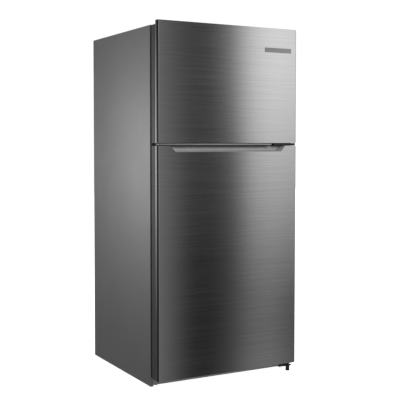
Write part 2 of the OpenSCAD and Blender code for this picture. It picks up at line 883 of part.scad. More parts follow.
// The two fan motors with their shafts and the brackets that hold them
module fan_motors() {
    evap_y0 = duct_y + duct_t + 26 + motor_gap;
    beam_half = 70;
    beam_y0 = evap_y0 + 18;
    beam_t = 4;
    beam_h = 12;
    evap_shaft = motor_gap + 8;
    room_shaft = motor_gap + 9;
    room_x0 = fan_x + motor_gap;
    hole = cond_fan_r + 2;
    color("#5b5e61")
    union() {
        bar_y(0, evap_y0, evap_y0 + 22, fan_z, 20);
        bar_y(0, evap_y0 - evap_shaft, evap_y0 + over, fan_z, shaft_r);
        block([-beam_half, beam_y0, fan_z - beam_h / 2], [beam_half, beam_y0 + beam_t, fan_z + beam_h / 2]);
        for (side = [-1, 1])
            block([side * (beam_half - beam_t) - beam_t, beam_y0, fan_z - beam_h / 2],
                  [side * (beam_half - beam_t) + beam_t, in_y, fan_z + beam_h / 2]);
        bar_x(room_x0, room_x0 + 35, comp_y, room_fan_z, 24);
        bar_x(room_x0 - room_shaft, room_x0 + over, comp_y, room_fan_z, shaft_r);
        block([fan_x + 22, comp_y - 8, room_z0], [fan_x + 27, comp_y + 8, room_fan_z]);
        difference() {
            block([fan_x + 22, room_y0 + part_gap, room_z0],
                  [fan_x + 24, cab_y1 - 14, room_z1 - part_gap]);
            bar_x(fan_x + 20, fan_x + 26, comp_y, room_fan_z, hole);
        }
        for (angle = [0, 180])
            translate([fan_x + 23, comp_y, room_fan_z])
                rotate([angle, 0, 0])
                    translate([-1, 0, -4])
                        cube([2, hole + 4, 8]);
    }
}

// Sealed compressor: a drum with domed ends, its base plate, terminal box and tube stubs
module compressor() {
    base_half = [95, 78];
    leg_x = 40;
    leg_half = 12;
    leg_d = 30;
    box_half = 24;
    stub = 14;
    z0 = comp_z0;
    dome_r = 1.35 * comp_r;
    dome_drop = dome_r - sqrt(pow(dome_r, 2) - pow(comp_r, 2));
    drum_z0 = z0 + dome_drop + 2;
    color("#1d1e20")
    union() {
        block([comp_x - base_half[0], comp_y - base_half[1], z0 - 3],
              [comp_x + base_half[0], comp_y + base_half[1], z0]);
        translate([comp_x, comp_y, drum_z0])
            union() {
                cylinder(h = comp_wall, r = comp_r);
                translate([0, 0, comp_wall * 0.45])
                    cylinder(h = 5, r = comp_r + 4);
                intersection() {
                    translate([0, 0, comp_wall - dome_r + dome_drop])
                        sphere(r = dome_r);
                    cylinder(h = comp_wall + 2 * dome_drop, r = comp_r);
                }
                intersection() {
                    translate([0, 0, dome_r - dome_drop])
                        sphere(r = dome_r);
                    translate([0, 0, -2 * dome_drop])
                        cylinder(h = comp_wall, r = comp_r);
                }
            }
        for (side = [-1, 1])
            block([comp_x + side * leg_x - leg_half, comp_y - leg_d, z0 - 1],
                  [comp_x + side * leg_x + leg_half, comp_y + leg_d, drum_z0 + 6]);
        block([comp_x + comp_r - 6, comp_y - box_half, drum_z0 + 14],
              [comp_x + comp_r + 34, comp_y + box_half, drum_z0 + 62]);
        bar_y(comp_x - 30, comp_y - comp_r - stub, comp_y, drum_z0 + 60, tube_r);
        bar_y(comp_x - 48, comp_y - comp_r - stub, comp_y, drum_z0 + 24, tube_r);
    }
}

// Rubber feet between the compressor's base and its plate
module compressor_mounts() {
    color("#161616")
    for (x = [-80, 80])
        for (y = [-64, 64])
            post(comp_x + x, comp_y + y, room_z0, comp_z0 - 3, rubber_r);
}

// Condenser: rows of tube runs joined by bends, carried by end plates
module condenser_coil() {
    end_over = 14;
    end_t = 2;
    y0 = comp_y - (coil_cols - 1) * coil_step / 2;
    z0 = room_z0 + 74;
    color("#26282a")
    union() {
        for (c = [0:coil_cols - 1])
            for (i = [0:coil_rows - 1]) {
                translate([coil_x0, y0 + c * coil_step, z0 + i * coil_step])
                    rotate([0, 90, 0])
                        cylinder(h = coil_x1 - coil_x0, r = tube_r, $fn = 24);
                if (i < coil_rows - 1)
                    translate([i % 2 == 0 ? coil_x1 : coil_x0, y0 + c * coil_step,
                               z0 + (i + 0.5) * coil_step])
                        rotate([90, 0, i % 2 == 0 ? 0 : 180])
                            tube_bend(coil_step, tube_r);
            }
        for (x = [coil_x0 + 30, (coil_x0 + coil_x1) / 2, coil_x1 - 16])
            block([x, y0 - end_over, room_z0],
                  [x + end_t, y0 + (coil_cols - 1) * coil_step + end_over,
                   z0 + (coil_rows - 1) * coil_step + 12]);
    }
}

// Shallow tray under the condenser, notched round the coil's end plates
module drip_tray() {
    z0 = room_z0 + 2;
    wall = 2;
    low = [coil_x0 + 36, room_y0 + 22, z0];
    high = [(coil_x0 + coil_x1) / 2 - 8, cab_y1 - 26, z0 + 44];
    color("#2e3032")
    difference() {
        block(low, high);
        block(low + [wall, wall, wall], high + [-wall, -wall, over]);
    }
}

// Slotted cover over the back of the machine room
module machine_cover() {
    x1 = inner_x - part_gap;
    z0 = room_z0 + 4;
    z1 = room_z1 - part_gap;
    slot = 6;
    pitch = 16;
    color("#3b3d3f")
    difference() {
        block([-x1, cab_y1 - 2, z0], [x1, cab_y1, z1]);
        for (bank = [-1, 1])
            for (i = [0:9])
                for (row = [0, 1]) {
                    x = bank * (half_w - 60) - bank * i * pitch;
                    block([x - slot / 2, cab_y1 - 2 - over, z0 + 40 + row * 100],
                          [x + slot / 2, cab_y1 + over, z0 + 120 + row * 100]);
                }
        bar_y(0, cab_y1 - 2 - over, cab_y1 + over, inlet_z, inlet_r + run_gap);
    }
}

// Cord gland in the machine room cover
module power_inlet() {
    color("#141414")
    difference() {
        union() {
            bar_y(0, cab_y1 - 12, cab_y1 + 3, inlet_z, inlet_r);
            bar_y(0, cab_y1, cab_y1 + 4, inlet_z, inlet_r + 5);
            bar_y(0, cab_y1 - 8, cab_y1 - 2, inlet_z, inlet_r + 4);
        }
        bar_y(0, cab_y1 - 12 - over, cab_y1 + 4 + over, inlet_z, cord_r);
    }
}

module rear_spacers() {
    color("#2a2b2c")
    for (x = [-1, 1])
        for (z = [room_z1 + 60, cab_z1 - 70])
            bar_y(x * (half_w - 70), cab_y1, cab_y1 + rear_gap, z, spacer_d / 2);
}

// ---------------------------------------------------------------- doors

// Plan outline of a door from its front plane to a given depth, front corners rounded
module door_outline(inset, depth) {
    x = half_w - inset;
    r = bend_r - inset;
    y0 = front_y + inset;
    union() {
        translate([-x, y0 + r])
            square([2 * x, depth - inset - r]);
        translate([-x + r, y0])
            square([2 * (x - r), depth - inset]);
        for (side = [-1, 1])
            translate([side * (x - r), y0 + r])
                circle(r = r);
    }
}

// Steel skin: the door's front with its two bent sides
module door_skin(z0, z1) {
    translate([0, 0, z0])
        linear_extrude(height = z1 - z0)
            difference() {
                door_outline(0, skin_wrap);
                door_outline(sheet_t, skin_wrap + over);
            }
}

// Corner blocks of a door frame that hold the hinge bushes
module hinge_boss(z0, z1, grow) {
    block([hinge_x - boss_half - grow, hinge_y - boss_half - grow, z0],
          [inner_x, hinge_y + boss_half + grow, z1]);
}

// Door frame: both side bands and both end caps in one ring, bored for the two bushes
module door_frame(z0, z1) {
    difference() {
        union() {
            difference() {
                translate([0, 0, z0])
                    linear_extrude(height = z1 - z0)
                        door_outline(sheet_t, door_t);
                block([-frame_x, front_y - over, z0 + frame_t], [frame_x, door_back + over, z1 - frame_t]);
            }
            hinge_boss(z0, z0 + boss_l, 0);
            hinge_boss(z1 - boss_l, z1, 0);
        }
        post(hinge_x, hinge_y, z0 - over, z0 + pin_l + 1, bush_r);
        post(hinge_x, hinge_y, z1 - pin_l - 1, z1 + over, bush_r);
    }
}

// Foam core: everything inside the frame, and inside the liner's ribs
module door_foam(z0, z1, rib_z0, rib_z1) {
    difference() {
        union() {
            intersection() {
                block([-frame_x, front_y + sheet_t, z0 + frame_t],
                      [frame_x, door_back - liner_t, z1 - frame_t]);
                translate([0, 0, z0])
                    linear_extrude(height = z1 - z0)
                        door_outline(sheet_t, door_t);
            }
            door_ribs(rib_z0, rib_z1, liner_t);
        }
        hinge_boss(z0, z0 + boss_l, 0);
        hinge_boss(z1 - boss_l, z1, 0);
    }
}

// The two upright ribs of a door liner, shrunk by g
module door_ribs(z0, z1, g) {
    for (side = [-1, 1])
        block([side * (bin_half + 4 + rib_w / 2) - rib_w / 2 + g, door_back - liner_t - over / 2, z0 + g],
              [side * (bin_half + 4 + rib_w / 2) + rib_w / 2 - g, cab_y0 + rib_reach - g, z1 - g]);
}

// Door liner: a sheet inside the frame with two hollow ribs for the bins
module door_liner(z0, z1, rib_z0, rib_z1) {
    difference() {
        union() {
            block([-frame_x, door_back - liner_t, z0 + frame_t], [frame_x, door_back, z1 - frame_t]);
            intersection() {
                door_ribs(rib_z0, rib_z1, 0);
                block([-half_w, door_back - liner_t, z0], [half_w, cab_y1, z1]);
            }
        }
        door_ribs(rib_z0, rib_z1, liner_t);
    }
}

// Gasket: a closed frame of soft section between door and cabinet
module door_gasket(z0, z1) {
    x = half_w - seal_in;
    y1 = door_back + seal_t - tab_play;
    difference() {
        block([-x, door_back, z0 + seal_in], [x, y1, z1 - seal_in]);
        block([-x + seal_w, door_back - over, z0 + seal_in + seal_w],
              [x - seal_w, y1 + over, z1 - seal_in - seal_w]);
    }
}

// Open-topped bin between x0 and x1
module door_bin(x0, x1, z, h) {
    difference() {
        block([x0, bin_y0, z], [x1, bin_y1, z + h]);
        block([x0 + bin_t, bin_y0 + bin_t, z + bin_t], [x1 - bin_t, bin_y1 - bin_t, z + h + over]);
    }
}

// Two flanged bushes on the hinge line; the lower one's flange hangs below, the upper one's stands above
module door_bushes(z0, z1, flange_low, flange_high) {
    difference() {
        union() {
            post(hinge_x, hinge_y, z0 - flange_low, z0 + pin_l + 1, bush_r);
            post(hinge_x, hinge_y, z0 - flange_low, z0, bush_r + 3);
            post(hinge_x, hinge_y, z1 - pin_l - 1, z1 + flange_high, bush_r);
            post(hinge_x, hinge_y, z1, z1 + flange_high, bush_r + 3);
        }
        post(hinge_x, hinge_y, z0 - flange_low - over, z0 + pin_l + 2, pin_r + run_gap);
        post(hinge_x, hinge_y, z1 - pin_l - 2, z1 + flange_high + over, pin_r + run_gap);
    }
}

bush_flange = door_gap / 2 - hinge_t / 2 - part_gap;
top_flange = top_gap - part_gap;
freezer_rib_z0 = freezer_z0 + 14;
freezer_rib_z1 = freezer_z1 - 14;
fridge_rib_z0 = fridge_z0 + 14;
fridge_rib_z1 = fridge_z1 - 14;

module freezer_door_skin() {
    color("#6a6c70")
    door_skin(upper_z0, steel_z1);
}

// The upper door's frame also fills the raised steel edge
module freezer_door_frame() {
    color("#4e5154")
    union() {
        door_frame(upper_z0, upper_z1);
        translate([0, 0, upper_z1 - frame_t])
            linear_extrude(height = steel_z1 - upper_z1 + frame_t - sheet_t)
                intersection() {
                    door_outline(sheet_t, door_t);
                    translate([-half_w, front_y])
                        square([cab_w, lip_t]);
                }
    }
}

module freezer_door_foam() {
    color("#e8dcb0")
    door_foam(upper_z0, upper_z1, freezer_rib_z0, freezer_rib_z1);
}

module freezer_door_liner() {
    color("#f0f1f1")
    door_liner(upper_z0, upper_z1, freezer_rib_z0, freezer_rib_z1);
}

module freezer_door_gasket() {
    color("#202122")
    door_gasket(upper_z0, upper_z1);
}

module freezer_door_bins() {
    bin_h = 80;
    color("#e4ecef")
    for (i = [0, 1])
        door_bin(-bin_half, bin_half, freezer_rib_z0 + 20 + i * 210, bin_h);
}

module freezer_door_bushes() {
    color("#e9e7df")
    door_bushes(upper_z0, upper_z1, bush_flange, top_flange);
}

module badge_plate() {
    x = half_w - 107;
    z = steel_z1 - 105;
    color("#d8dadc")
    block([x - badge_w / 2, front_y - badge_t, z - badge_h / 2], [x + badge_w / 2, front_y, z + badge_h / 2]);
}

// Trapezium of the grip seen from the front, open at the door's top, shrunk by g towards its middle
module grip_outline(g, rise) {
    polygon([[-grip_top + g, lower_z1 + rise], [-grip_low + g, lower_z1 - grip_h + g / 2],
             [grip_low - g, lower_z1 - grip_h + g / 2], [grip_top - g, lower_z1 + rise]]);
}

// The trapezium carried through from the front plane to a given depth
module grip_prism(depth) {
    translate([0, front_y + depth, 0])
        rotate([90, 0, 0])
            linear_extrude(height = depth + over)
                grip_outline(0, over);
}

// The room that the grip moulding takes up in the door
module grip_room() {
    block([-grip_top - grip_wall, front_y + sheet_t, lower_z1 - grip_h - grip_wall],
          [grip_top + grip_wall, front_y + grip_d + grip_wall, lower_z1 + over]);
}

module fridge_door_skin() {
    color("#6a6c70")
    difference() {
        door_skin(lower_z0, lower_z1);
        grip_prism(skin_wrap);
    }
}

module fridge_door_frame() {
    color("#4e5154")
    difference() {
        door_frame(lower_z0, lower_z1);
        grip_room();
    }
}

// Moulding behind the cut in the steel: a scoop whose walls all slope towards its back
module grip_pocket() {
    slice = 0.5;
    color("#8b8e90")
    difference() {
        intersection() {
            grip_room();
            block([-half_w, front_y, lower_z0], [half_w, cab_y0, lower_z1]);
        }
        hull() {
            translate([0, front_y + sheet_t + slice, 0])
                rotate([90, 0, 0])
                    linear_extrude(height = sheet_t + 2 * slice)
                        grip_outline(0, 2 * over);
            translate([0, front_y + grip_d, 0])
                rotate([90, 0, 0])
                    linear_extrude(height = slice)
                        grip_outline(grip_splay, 2 * over);
        }
    }
}

module fridge_door_foam() {
    color("#e8dcb0")
    difference() {
        door_foam(lower_z0, lower_z1, fridge_rib_z0, fridge_rib_z1);
        grip_room();
    }
}

module fridge_door_liner() {
    color("#f0f1f1")
    door_liner(lower_z0, lower_z1, fridge_rib_z0, fridge_rib_z1);
}

module fridge_door_gasket() {
    color("#202122")
    door_gasket(lower_z0, lower_z1);
}

// Two full-width bins, one half-width bin and the dairy housing, which opens towards the shelves
module fridge_door_bins() {
    low_h = 120;
    mid_h = 90;
    mid_z = (fridge_rib_z0 + dairy_z0) / 2;
    color("#e4ecef")
    union() {
        door_bin(-bin_half, bin_half, fridge_rib_z0 + 12, low_h);
        door_bin(-bin_half, bin_half, mid_z, mid_h);
        door_bin(2, bin_half, dairy_z0, mid_h);
        difference() {
            block([-bin_half, bin_y0, dairy_z0], [-2, bin_y1 - 3, dairy_z1]);
            block([-bin_half + bin_t, bin_y0 + bin_t, dairy_z0 + bin_t],
                  [-2 - bin_t, bin_y1, dairy_z1 - bin_t]);
            bar_x(-bin_half - over, -2 + over, flap_y, flap_z, flap_pin_r + run_gap);
        }
    }
}

// Door of the dairy housing, hung on two pins near its top
module dairy_flap() {
    x0 = -bin_half + bin_t + part_gap;
    x1 = -2 - bin_t - part_gap;
    z0 = dairy_z0 + bin_t + part_gap;
    color("#dfe9ee")
    union() {
        bar_x(x0, x1, flap_y, flap_z, flap_r);
        block([x0, flap_y + 1.5, z0], [x1, flap_y + 4.5, flap_z]);
        block([x0 + 90, flap_y + 4, z0 + 4], [x1 - 90, flap_y + 10, z0 + 8]);
        bar_x(x0 - bin_t, x1 + bin_t, flap_y, flap_z, flap_pin_r);
    }
}

module fridge_door_bushes() {
    color("#e9e7df")
    door_bushes(lower_z0, lower_z1, bush_flange, bush_flange);
}

// ---------------------------------------------------------------- feet and rollers

module roller(x) {
    color("#cfd1d2")
    difference() {
        bar_x(x - roller_w / 2, x + roller_w / 2, roller_y, roller_r, roller_r);
        bar_x(x - roller_w, x + roller_w, roller_y, roller_r, axle_r + run_gap);
    }
}

module roller_left() { roller(-roller_x); }

module roller_right() { roller(roller_x); }

// Levelling foot: a pad on the floor, a collar and a threaded stem
module levelling_foot(x, y, pad, top) {
    color("#1b1b1c")
    union() {
        post(x, y, 0, pad, foot_r);
        post(x, y, pad - over, top, stem_r);
    }
}

module foot_left() { levelling_foot(foot_left_x, foot_left_y, foot_pad, cab_z0 + boss_h + 6); }

module foot_right() { levelling_foot(hinge_x, hinge_y, foot_plate_z - 1, foot_plate_z + hinge_t + 4); }

cabinet_wrap();
back_panel();
base_pan();
insulation_foam();
freezer_liner();
fridge_liner();
cross_rail();
kick_plate();
top_hinge();
hinge_cover();
middle_hinge();
bottom_hinge();
hinge_screws();
freezer_shelf();
glass_shelves();
shelf_fittings();
crisper_cover();
control_box();
lamp_lens();
door_switch();
duct_panel();
evaporator();
fan_motors();
compressor();
compressor_mounts();
condenser_coil();
drip_tray();
machine_cover();
rear_spacers();
power_inlet();
freezer_door_skin();
freezer_door_frame();
freezer_door_foam();
freezer_door_liner();
freezer_door_gasket();
freezer_door_bins();
freezer_door_bushes();
badge_plate();
fridge_door_skin();
fridge_door_frame();
grip_pocket();
fridge_door_foam();
fridge_door_liner();
fridge_door_gasket();
fridge_door_bins();
fridge_door_bushes();
crisper_left();
crisper_right();
humidity_left();
humidity_right();
dairy_flap();
temperature_knob();
freezer_slider();
switch_plunger();
evaporator_fan();
condenser_fan();
roller_left();
roller_right();
foot_left();
foot_right();
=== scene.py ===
# %% [markdown]
# # A top freezer refrigerator, dressed for a picture
# The solid model already says where every sheet, moulding and screw sits. This lesson
# gives those pieces their looks: softened edges, real seams, a few black strips and blocks
# that are painted dark reflection and painted shade, and one procedural finish for each
# material. All sizes are metres, and every place is read from the solid model.

# %% Load the frame
import bmesh
import bpy
import json
import math
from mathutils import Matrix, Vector

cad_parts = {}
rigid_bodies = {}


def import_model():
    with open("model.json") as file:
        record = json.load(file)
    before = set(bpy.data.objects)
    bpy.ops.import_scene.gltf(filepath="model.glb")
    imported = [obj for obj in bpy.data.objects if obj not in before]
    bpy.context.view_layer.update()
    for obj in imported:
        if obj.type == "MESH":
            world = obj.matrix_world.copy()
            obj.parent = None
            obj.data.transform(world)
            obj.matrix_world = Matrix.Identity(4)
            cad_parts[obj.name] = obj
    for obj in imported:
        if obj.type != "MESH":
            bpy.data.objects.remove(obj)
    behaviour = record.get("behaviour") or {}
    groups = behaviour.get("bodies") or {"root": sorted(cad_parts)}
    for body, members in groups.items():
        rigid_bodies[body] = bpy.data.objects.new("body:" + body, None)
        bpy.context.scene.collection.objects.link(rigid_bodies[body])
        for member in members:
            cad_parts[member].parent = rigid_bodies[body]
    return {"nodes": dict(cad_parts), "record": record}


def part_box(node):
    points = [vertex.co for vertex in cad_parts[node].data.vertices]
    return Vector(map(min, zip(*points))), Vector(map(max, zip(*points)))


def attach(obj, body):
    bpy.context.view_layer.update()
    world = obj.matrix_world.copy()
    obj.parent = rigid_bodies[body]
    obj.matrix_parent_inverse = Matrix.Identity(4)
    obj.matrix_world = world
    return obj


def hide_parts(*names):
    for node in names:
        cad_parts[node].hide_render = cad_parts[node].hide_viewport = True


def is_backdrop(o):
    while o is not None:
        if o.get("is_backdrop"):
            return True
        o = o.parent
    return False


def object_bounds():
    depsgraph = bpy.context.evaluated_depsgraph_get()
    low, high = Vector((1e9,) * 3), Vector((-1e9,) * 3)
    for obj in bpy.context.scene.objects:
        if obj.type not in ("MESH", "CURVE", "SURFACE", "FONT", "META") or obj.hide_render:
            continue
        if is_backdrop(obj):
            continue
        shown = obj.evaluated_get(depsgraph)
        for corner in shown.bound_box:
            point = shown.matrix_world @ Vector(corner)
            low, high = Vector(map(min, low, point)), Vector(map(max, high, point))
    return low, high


bpy.ops.object.select_all(action="SELECT")
bpy.ops.object.delete()
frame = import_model()
solid_low, solid_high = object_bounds()
MM = 0.001
print("solid model, mm:", [round(v / MM, 1) for v in solid_high - solid_low])

# %% [markdown]
# ## Which piece is made of what
# The record lists the material slot of each piece and the body that carries it. Two small
# tables save looking either of them up again, so a new piece only needs the name of the
# solid piece it dresses.

# %% Slots and bodies
slot_of = {}
for entry in frame["record"]["subparts"]:
    slot_of[entry["node"]] = entry.get("material_slot", entry["node"])
body_of = {}
for body_name, members in frame["record"]["behaviour"]["bodies"].items():
    for member in members:
        body_of[member] = body_name
print(len(slot_of), "pieces in", len(set(slot_of.values())), "finishes")

# %% [markdown]
# ## Finishes: the common tools
# A finish is a small network of nodes. Nearly all of them need the same three things: a
# colour that drifts a little, a gloss that is not even, and a fine surface grain. The
# patterns are laid out in the piece's own metres, so a grain of one millimetre stays one
# millimetre on every piece, and it stays put when a door swings.

# %% Node helpers
finishes = {}
PATTERN_LOW = 0.3
PATTERN_HIGH = 0.7


def start_finish(name):
    """A new material with its node tree and its surface shader."""
    material = bpy.data.materials.new(name)
    material.use_nodes = True
    tree = material.node_tree
    shader = tree.nodes["Principled BSDF"]
    finishes[name] = material
    return tree, shader


def metres(tree, stretch=(1.0, 1.0, 1.0)):
    """The piece's own coordinates in metres, each axis scaled by stretch."""
    place = tree.nodes.new("ShaderNodeTexCoord")
    scaled = tree.nodes.new("ShaderNodeMapping")
    scaled.inputs["Scale"].default_value = stretch
    tree.links.new(place.outputs["Object"], scaled.inputs["Vector"])
    return scaled.outputs["Vector"]


def cloud(tree, size, detail=3.0, stretch=(1.0, 1.0, 1.0)):
    """A noise pattern whose blotches are about size metres across, from 0 to 1."""
    noise = tree.nodes.new("ShaderNodeTexNoise")
    noise.inputs["Scale"].default_value = 1.0 / size
    noise.inputs["Detail"].default_value = detail
    tree.links.new(metres(tree, stretch), noise.inputs["Vector"])
    return noise.outputs["Fac"]


def tone_between(tree, pattern, low_tone, high_tone):
    """A colour that follows the pattern from low_tone to high_tone over its middle range."""
    ramp = tree.nodes.new("ShaderNodeValToRGB")
    ramp.color_ramp.elements[0].position = PATTERN_LOW
    ramp.color_ramp.elements[0].color = (*low_tone, 1.0)
    ramp.color_ramp.elements[1].position = PATTERN_HIGH
    ramp.color_ramp.elements[1].color = (*high_tone, 1.0)
    tree.links.new(pattern, ramp.inputs["Fac"])
    return ramp.outputs["Color"]


def number_between(tree, pattern, low, high):
    """A number that follows the pattern from low to high over its middle range."""
    change = tree.nodes.new("ShaderNodeMapRange")
    change.inputs["From Min"].default_value = PATTERN_LOW
    change.inputs["From Max"].default_value = PATTERN_HIGH
    change.inputs["To Min"].default_value = low
    change.inputs["To Max"].default_value = high
    tree.links.new(pattern, change.inputs["Value"])
    return change.outputs["Result"]


def relief(tree, shader, pattern, depth):
    """Turns a pattern into surface relief, depth metres from low to high."""
    bump = tree.nodes.new("ShaderNodeBump")
    bump.inputs["Strength"].default_value = 1.0
    bump.inputs["Distance"].default_value = depth
    tree.links.new(pattern, bump.inputs["Height"])
    tree.links.new(bump.outputs["Normal"], shader.inputs["Normal"])


def grey(value, warmth=0.0):
    """A near neutral tone; warmth above 0 adds red and takes blue away."""
    return (value * (1.0 + warmth), value, value * (1.0 - warmth))


def set_base(tree, shader, pattern, low_tone, high_tone):
    """Colours the shader between two tones by a pattern."""
    tree.links.new(tone_between(tree, pattern, low_tone, high_tone), shader.inputs["Base Color"])


def set_gloss(tree, shader, pattern, rough, spread):
    """Varies the roughness round a middle value, by a share of it."""
    uneven = number_between(tree, pattern, rough * (1.0 - spread), rough * (1.0 + spread))
    tree.links.new(uneven, shader.inputs["Roughness"])


def shaded(name, low_tone, high_tone, rough, grain, depth, drift=0.3, **fixed):
    """The finish most pieces use: drifting tone, drifting gloss and a fine grain."""
    tree, shader = start_finish(name)
    set_base(tree, shader, cloud(tree, drift), low_tone, high_tone)
    set_gloss(tree, shader, cloud(tree, drift / 3.0, detail=5.0), rough, 0.12)
    relief(tree, shader, cloud(tree, grain, detail=2.0), depth)
    for socket, value in fixed.items():
        shader.inputs[socket.replace("_", " ")].default_value = value


print("finish tools ready")

# %% [markdown]
# ## Brushed stainless steel
# The door sheets are rolled steel, brushed with a belt that leaves fine level scratches
# and then sealed with a clear film. A scratch spreads a reflection across itself, so
# lamps smear up and down the door but stay crisp from side to side. The uneven gloss and
# the thin streaks come from one noise squeezed hard in height. The smear itself is the
# shader's own anisotropy, turned a quarter so that it lies across the scratches.

# %% Stainless finish
STREAK_SIZE = 0.35
STREAK_STRETCH = (1.0, 1.0, 110.0)
SCRATCH_SIZE = 0.06
SCRATCH_STRETCH = (1.0, 1.0, 120.0)
SCRATCH_DEPTH = 0.0006 * MM
QUARTER_TURN = 0.25


def brushed(name, low_tone, high_tone, rough, smear):
    """Steel with level brush marks."""
    tree, shader = start_finish(name)
    streaks = cloud(tree, STREAK_SIZE, detail=6.0, stretch=STREAK_STRETCH)
    set_base(tree, shader, streaks, low_tone, high_tone)
    set_gloss(tree, shader, streaks, rough, 0.1)
    scratches = cloud(tree, SCRATCH_SIZE, detail=4.0, stretch=SCRATCH_STRETCH)
    relief(tree, shader, scratches, SCRATCH_DEPTH)
    along = tree.nodes.new("ShaderNodeTangent")
    along.direction_type = "RADIAL"
    along.axis = "Z"
    tree.links.new(along.outputs["Tangent"], shader.inputs["Tangent"])
    shader.inputs["Metallic"].default_value = 1.0
    shader.inputs["Anisotropic"].default_value = smear
    shader.inputs["Anisotropic Rotation"].default_value = QUARTER_TURN


brushed("stainless", grey(0.505), grey(0.605), 0.115, 0.85)
brushed("badge_steel", grey(0.30), grey(0.38), 0.25, 0.5)
brushed("rail_steel", grey(0.50), grey(0.62), 0.3, 0.5)
print("brushed:", sorted(finishes))

# %% [markdown]
# ## Painted and plated metal
# The cabinet is pre-painted coil steel, with the faint orange peel that rolled paint
# leaves. The back and the base are bare galvanised steel: zinc freezes into flat crystals
# about a centimetre across, each a slightly different grey, which a cell pattern gives
# directly. Hinges and brackets are powder coated, so their grain is coarser and duller.

# %% Painted and plated finishes
shaded(
    "cabinet_paint", grey(0.235), grey(0.25), 0.36, 0.9 * MM, 0.006 * MM,
    Coat_Weight=0.35, Coat_Roughness=0.2,
)
shaded("hinge_black", grey(0.012), grey(0.02), 0.5, 0.7 * MM, 0.03 * MM, drift=0.05)
shaded("condenser_black", grey(0.014), grey(0.024), 0.38, 1.5 * MM, 0.03 * MM, drift=0.08)
shaded("compressor_black", grey(0.012), grey(0.022), 0.3, 2.5 * MM, 0.08 * MM, drift=0.08, Coat_Weight=0.4)
shaded("motor_grey", grey(0.2), grey(0.28), 0.42, 0.8 * MM, 0.02 * MM, drift=0.03, Metallic=0.7)
shaded("kick_grey", grey(0.36), grey(0.41), 0.4, 0.6 * MM, 0.01 * MM, drift=0.15)


def spangled(name, low_tone, high_tone, rough, crystal):
    """Galvanised steel: each zinc crystal has its own grey and its own gloss."""
    tree, shader = start_finish(name)
    cells = tree.nodes.new("ShaderNodeTexVoronoi")
    cells.inputs["Scale"].default_value = 1.0 / crystal
    tree.links.new(metres(tree), cells.inputs["Vector"])
    one = tree.nodes.new("ShaderNodeSeparateColor")
    tree.links.new(cells.outputs["Color"], one.inputs["Color"])
    pattern = one.outputs["Red"]
    set_base(tree, shader, pattern, low_tone, high_tone)
    set_gloss(tree, shader, pattern, rough, 0.2)
    relief(tree, shader, cloud(tree, 2.0 * MM), 0.01 * MM)
    shader.inputs["Metallic"].default_value = 0.65


spangled("zinc_sheet", grey(0.485), grey(0.54), 0.42, 9.0 * MM)
spangled("screw_zinc", grey(0.45), grey(0.6), 0.3, 1.5 * MM)
print("painted and plated:", len(finishes), "finishes so far")

# %% [markdown]
# ## Moulded and formed plastics
# Plastic copies its mould. The liners are drawn from warm sheet over a polished form, so
# they are glossy and very slightly wavy. Bins and frames come from etched moulds, which
# leave a fine even grain. The same tool makes them all, with the grain, the gloss and the
# tone of each.

# %% Plastic finishes
shaded(
    "liner_white", grey(0.78, 0.01), grey(0.82, 0.008), 0.22, 25.0 * MM, 0.12 * MM,
    Subsurface_Weight=0.08,
)
shaded("trim_white", grey(0.74, 0.006), grey(0.79, 0.006), 0.32, 0.8 * MM, 0.012 * MM)
shaded("cover_grey", grey(0.24), grey(0.27), 0.42, 0.9 * MM, 0.02 * MM, drift=0.05)
shaded("frame_grey", grey(0.07), grey(0.08), 0.45, 0.8 * MM, 0.02 * MM, drift=0.15)
shaded("pocket_grey", grey(0.27), grey(0.30), 0.34, 0.8 * MM, 0.012 * MM, drift=0.1)
shaded("rear_black", grey(0.014), grey(0.02), 0.5, 1.0 * MM, 0.03 * MM, drift=0.1)
shaded("bush_nylon", grey(0.62, 0.03), grey(0.68, 0.03), 0.4, 0.6 * MM, 0.01 * MM, drift=0.02)
shaded("roller_grey", grey(0.09), grey(0.12), 0.55, 0.6 * MM, 0.02 * MM, drift=0.02)
shaded("foot_black", grey(0.012), grey(0.018), 0.55, 0.6 * MM, 0.02 * MM, drift=0.02)
shaded("fan_plastic", grey(0.02), grey(0.03), 0.4, 0.8 * MM, 0.01 * MM, drift=0.04)
shaded("slide_blue", (0.10, 0.22, 0.42), (0.12, 0.26, 0.48), 0.35, 0.6 * MM, 0.01 * MM, drift=0.02)
shaded("shelf_wire", grey(0.76), grey(0.80), 0.3, 1.2 * MM, 0.04 * MM, drift=0.05, Coat_Weight=0.4)
print("with plastics:", len(finishes), "finishes")

# %% [markdown]
# ## Rubber, foam and fins
# The door gasket is soft black vinyl with a dull skin, and the compressor stands on plain
# rubber. Behind the liners is poured foam, which is a froth of closed cells. The
# evaporator's fins are thin bright aluminium, stacked so tightly that they read as lines.

# %% Soft and special finishes
shaded("gasket_black", grey(0.011), grey(0.017), 0.48, 0.5 * MM, 0.02 * MM, drift=0.1)
shaded("mount_rubber", grey(0.015), grey(0.022), 0.7, 0.6 * MM, 0.03 * MM, drift=0.02)


def frothed(name, low_tone, high_tone, cell):
    """Poured foam: closed cells of uneven size under a thin skin."""
    tree, shader = start_finish(name)
    cells = tree.nodes.new("ShaderNodeTexVoronoi")
    cells.inputs["Scale"].default_value = 1.0 / cell
    tree.links.new(metres(tree), cells.inputs["Vector"])
    set_base(tree, shader, cloud(tree, 0.05), low_tone, high_tone)
    relief(tree, shader, cells.outputs["Distance"], 0.6 * MM)
    shader.inputs["Roughness"].default_value = 0.85


frothed("foam", (0.70, 0.60, 0.36), (0.80, 0.70, 0.46), 3.0 * MM)
shaded("fin_aluminium", grey(0.66), grey(0.74), 0.28, 6.0 * MM, 0.05 * MM, drift=0.03, Metallic=1.0)
print("with soft and special:", len(finishes), "finishes")

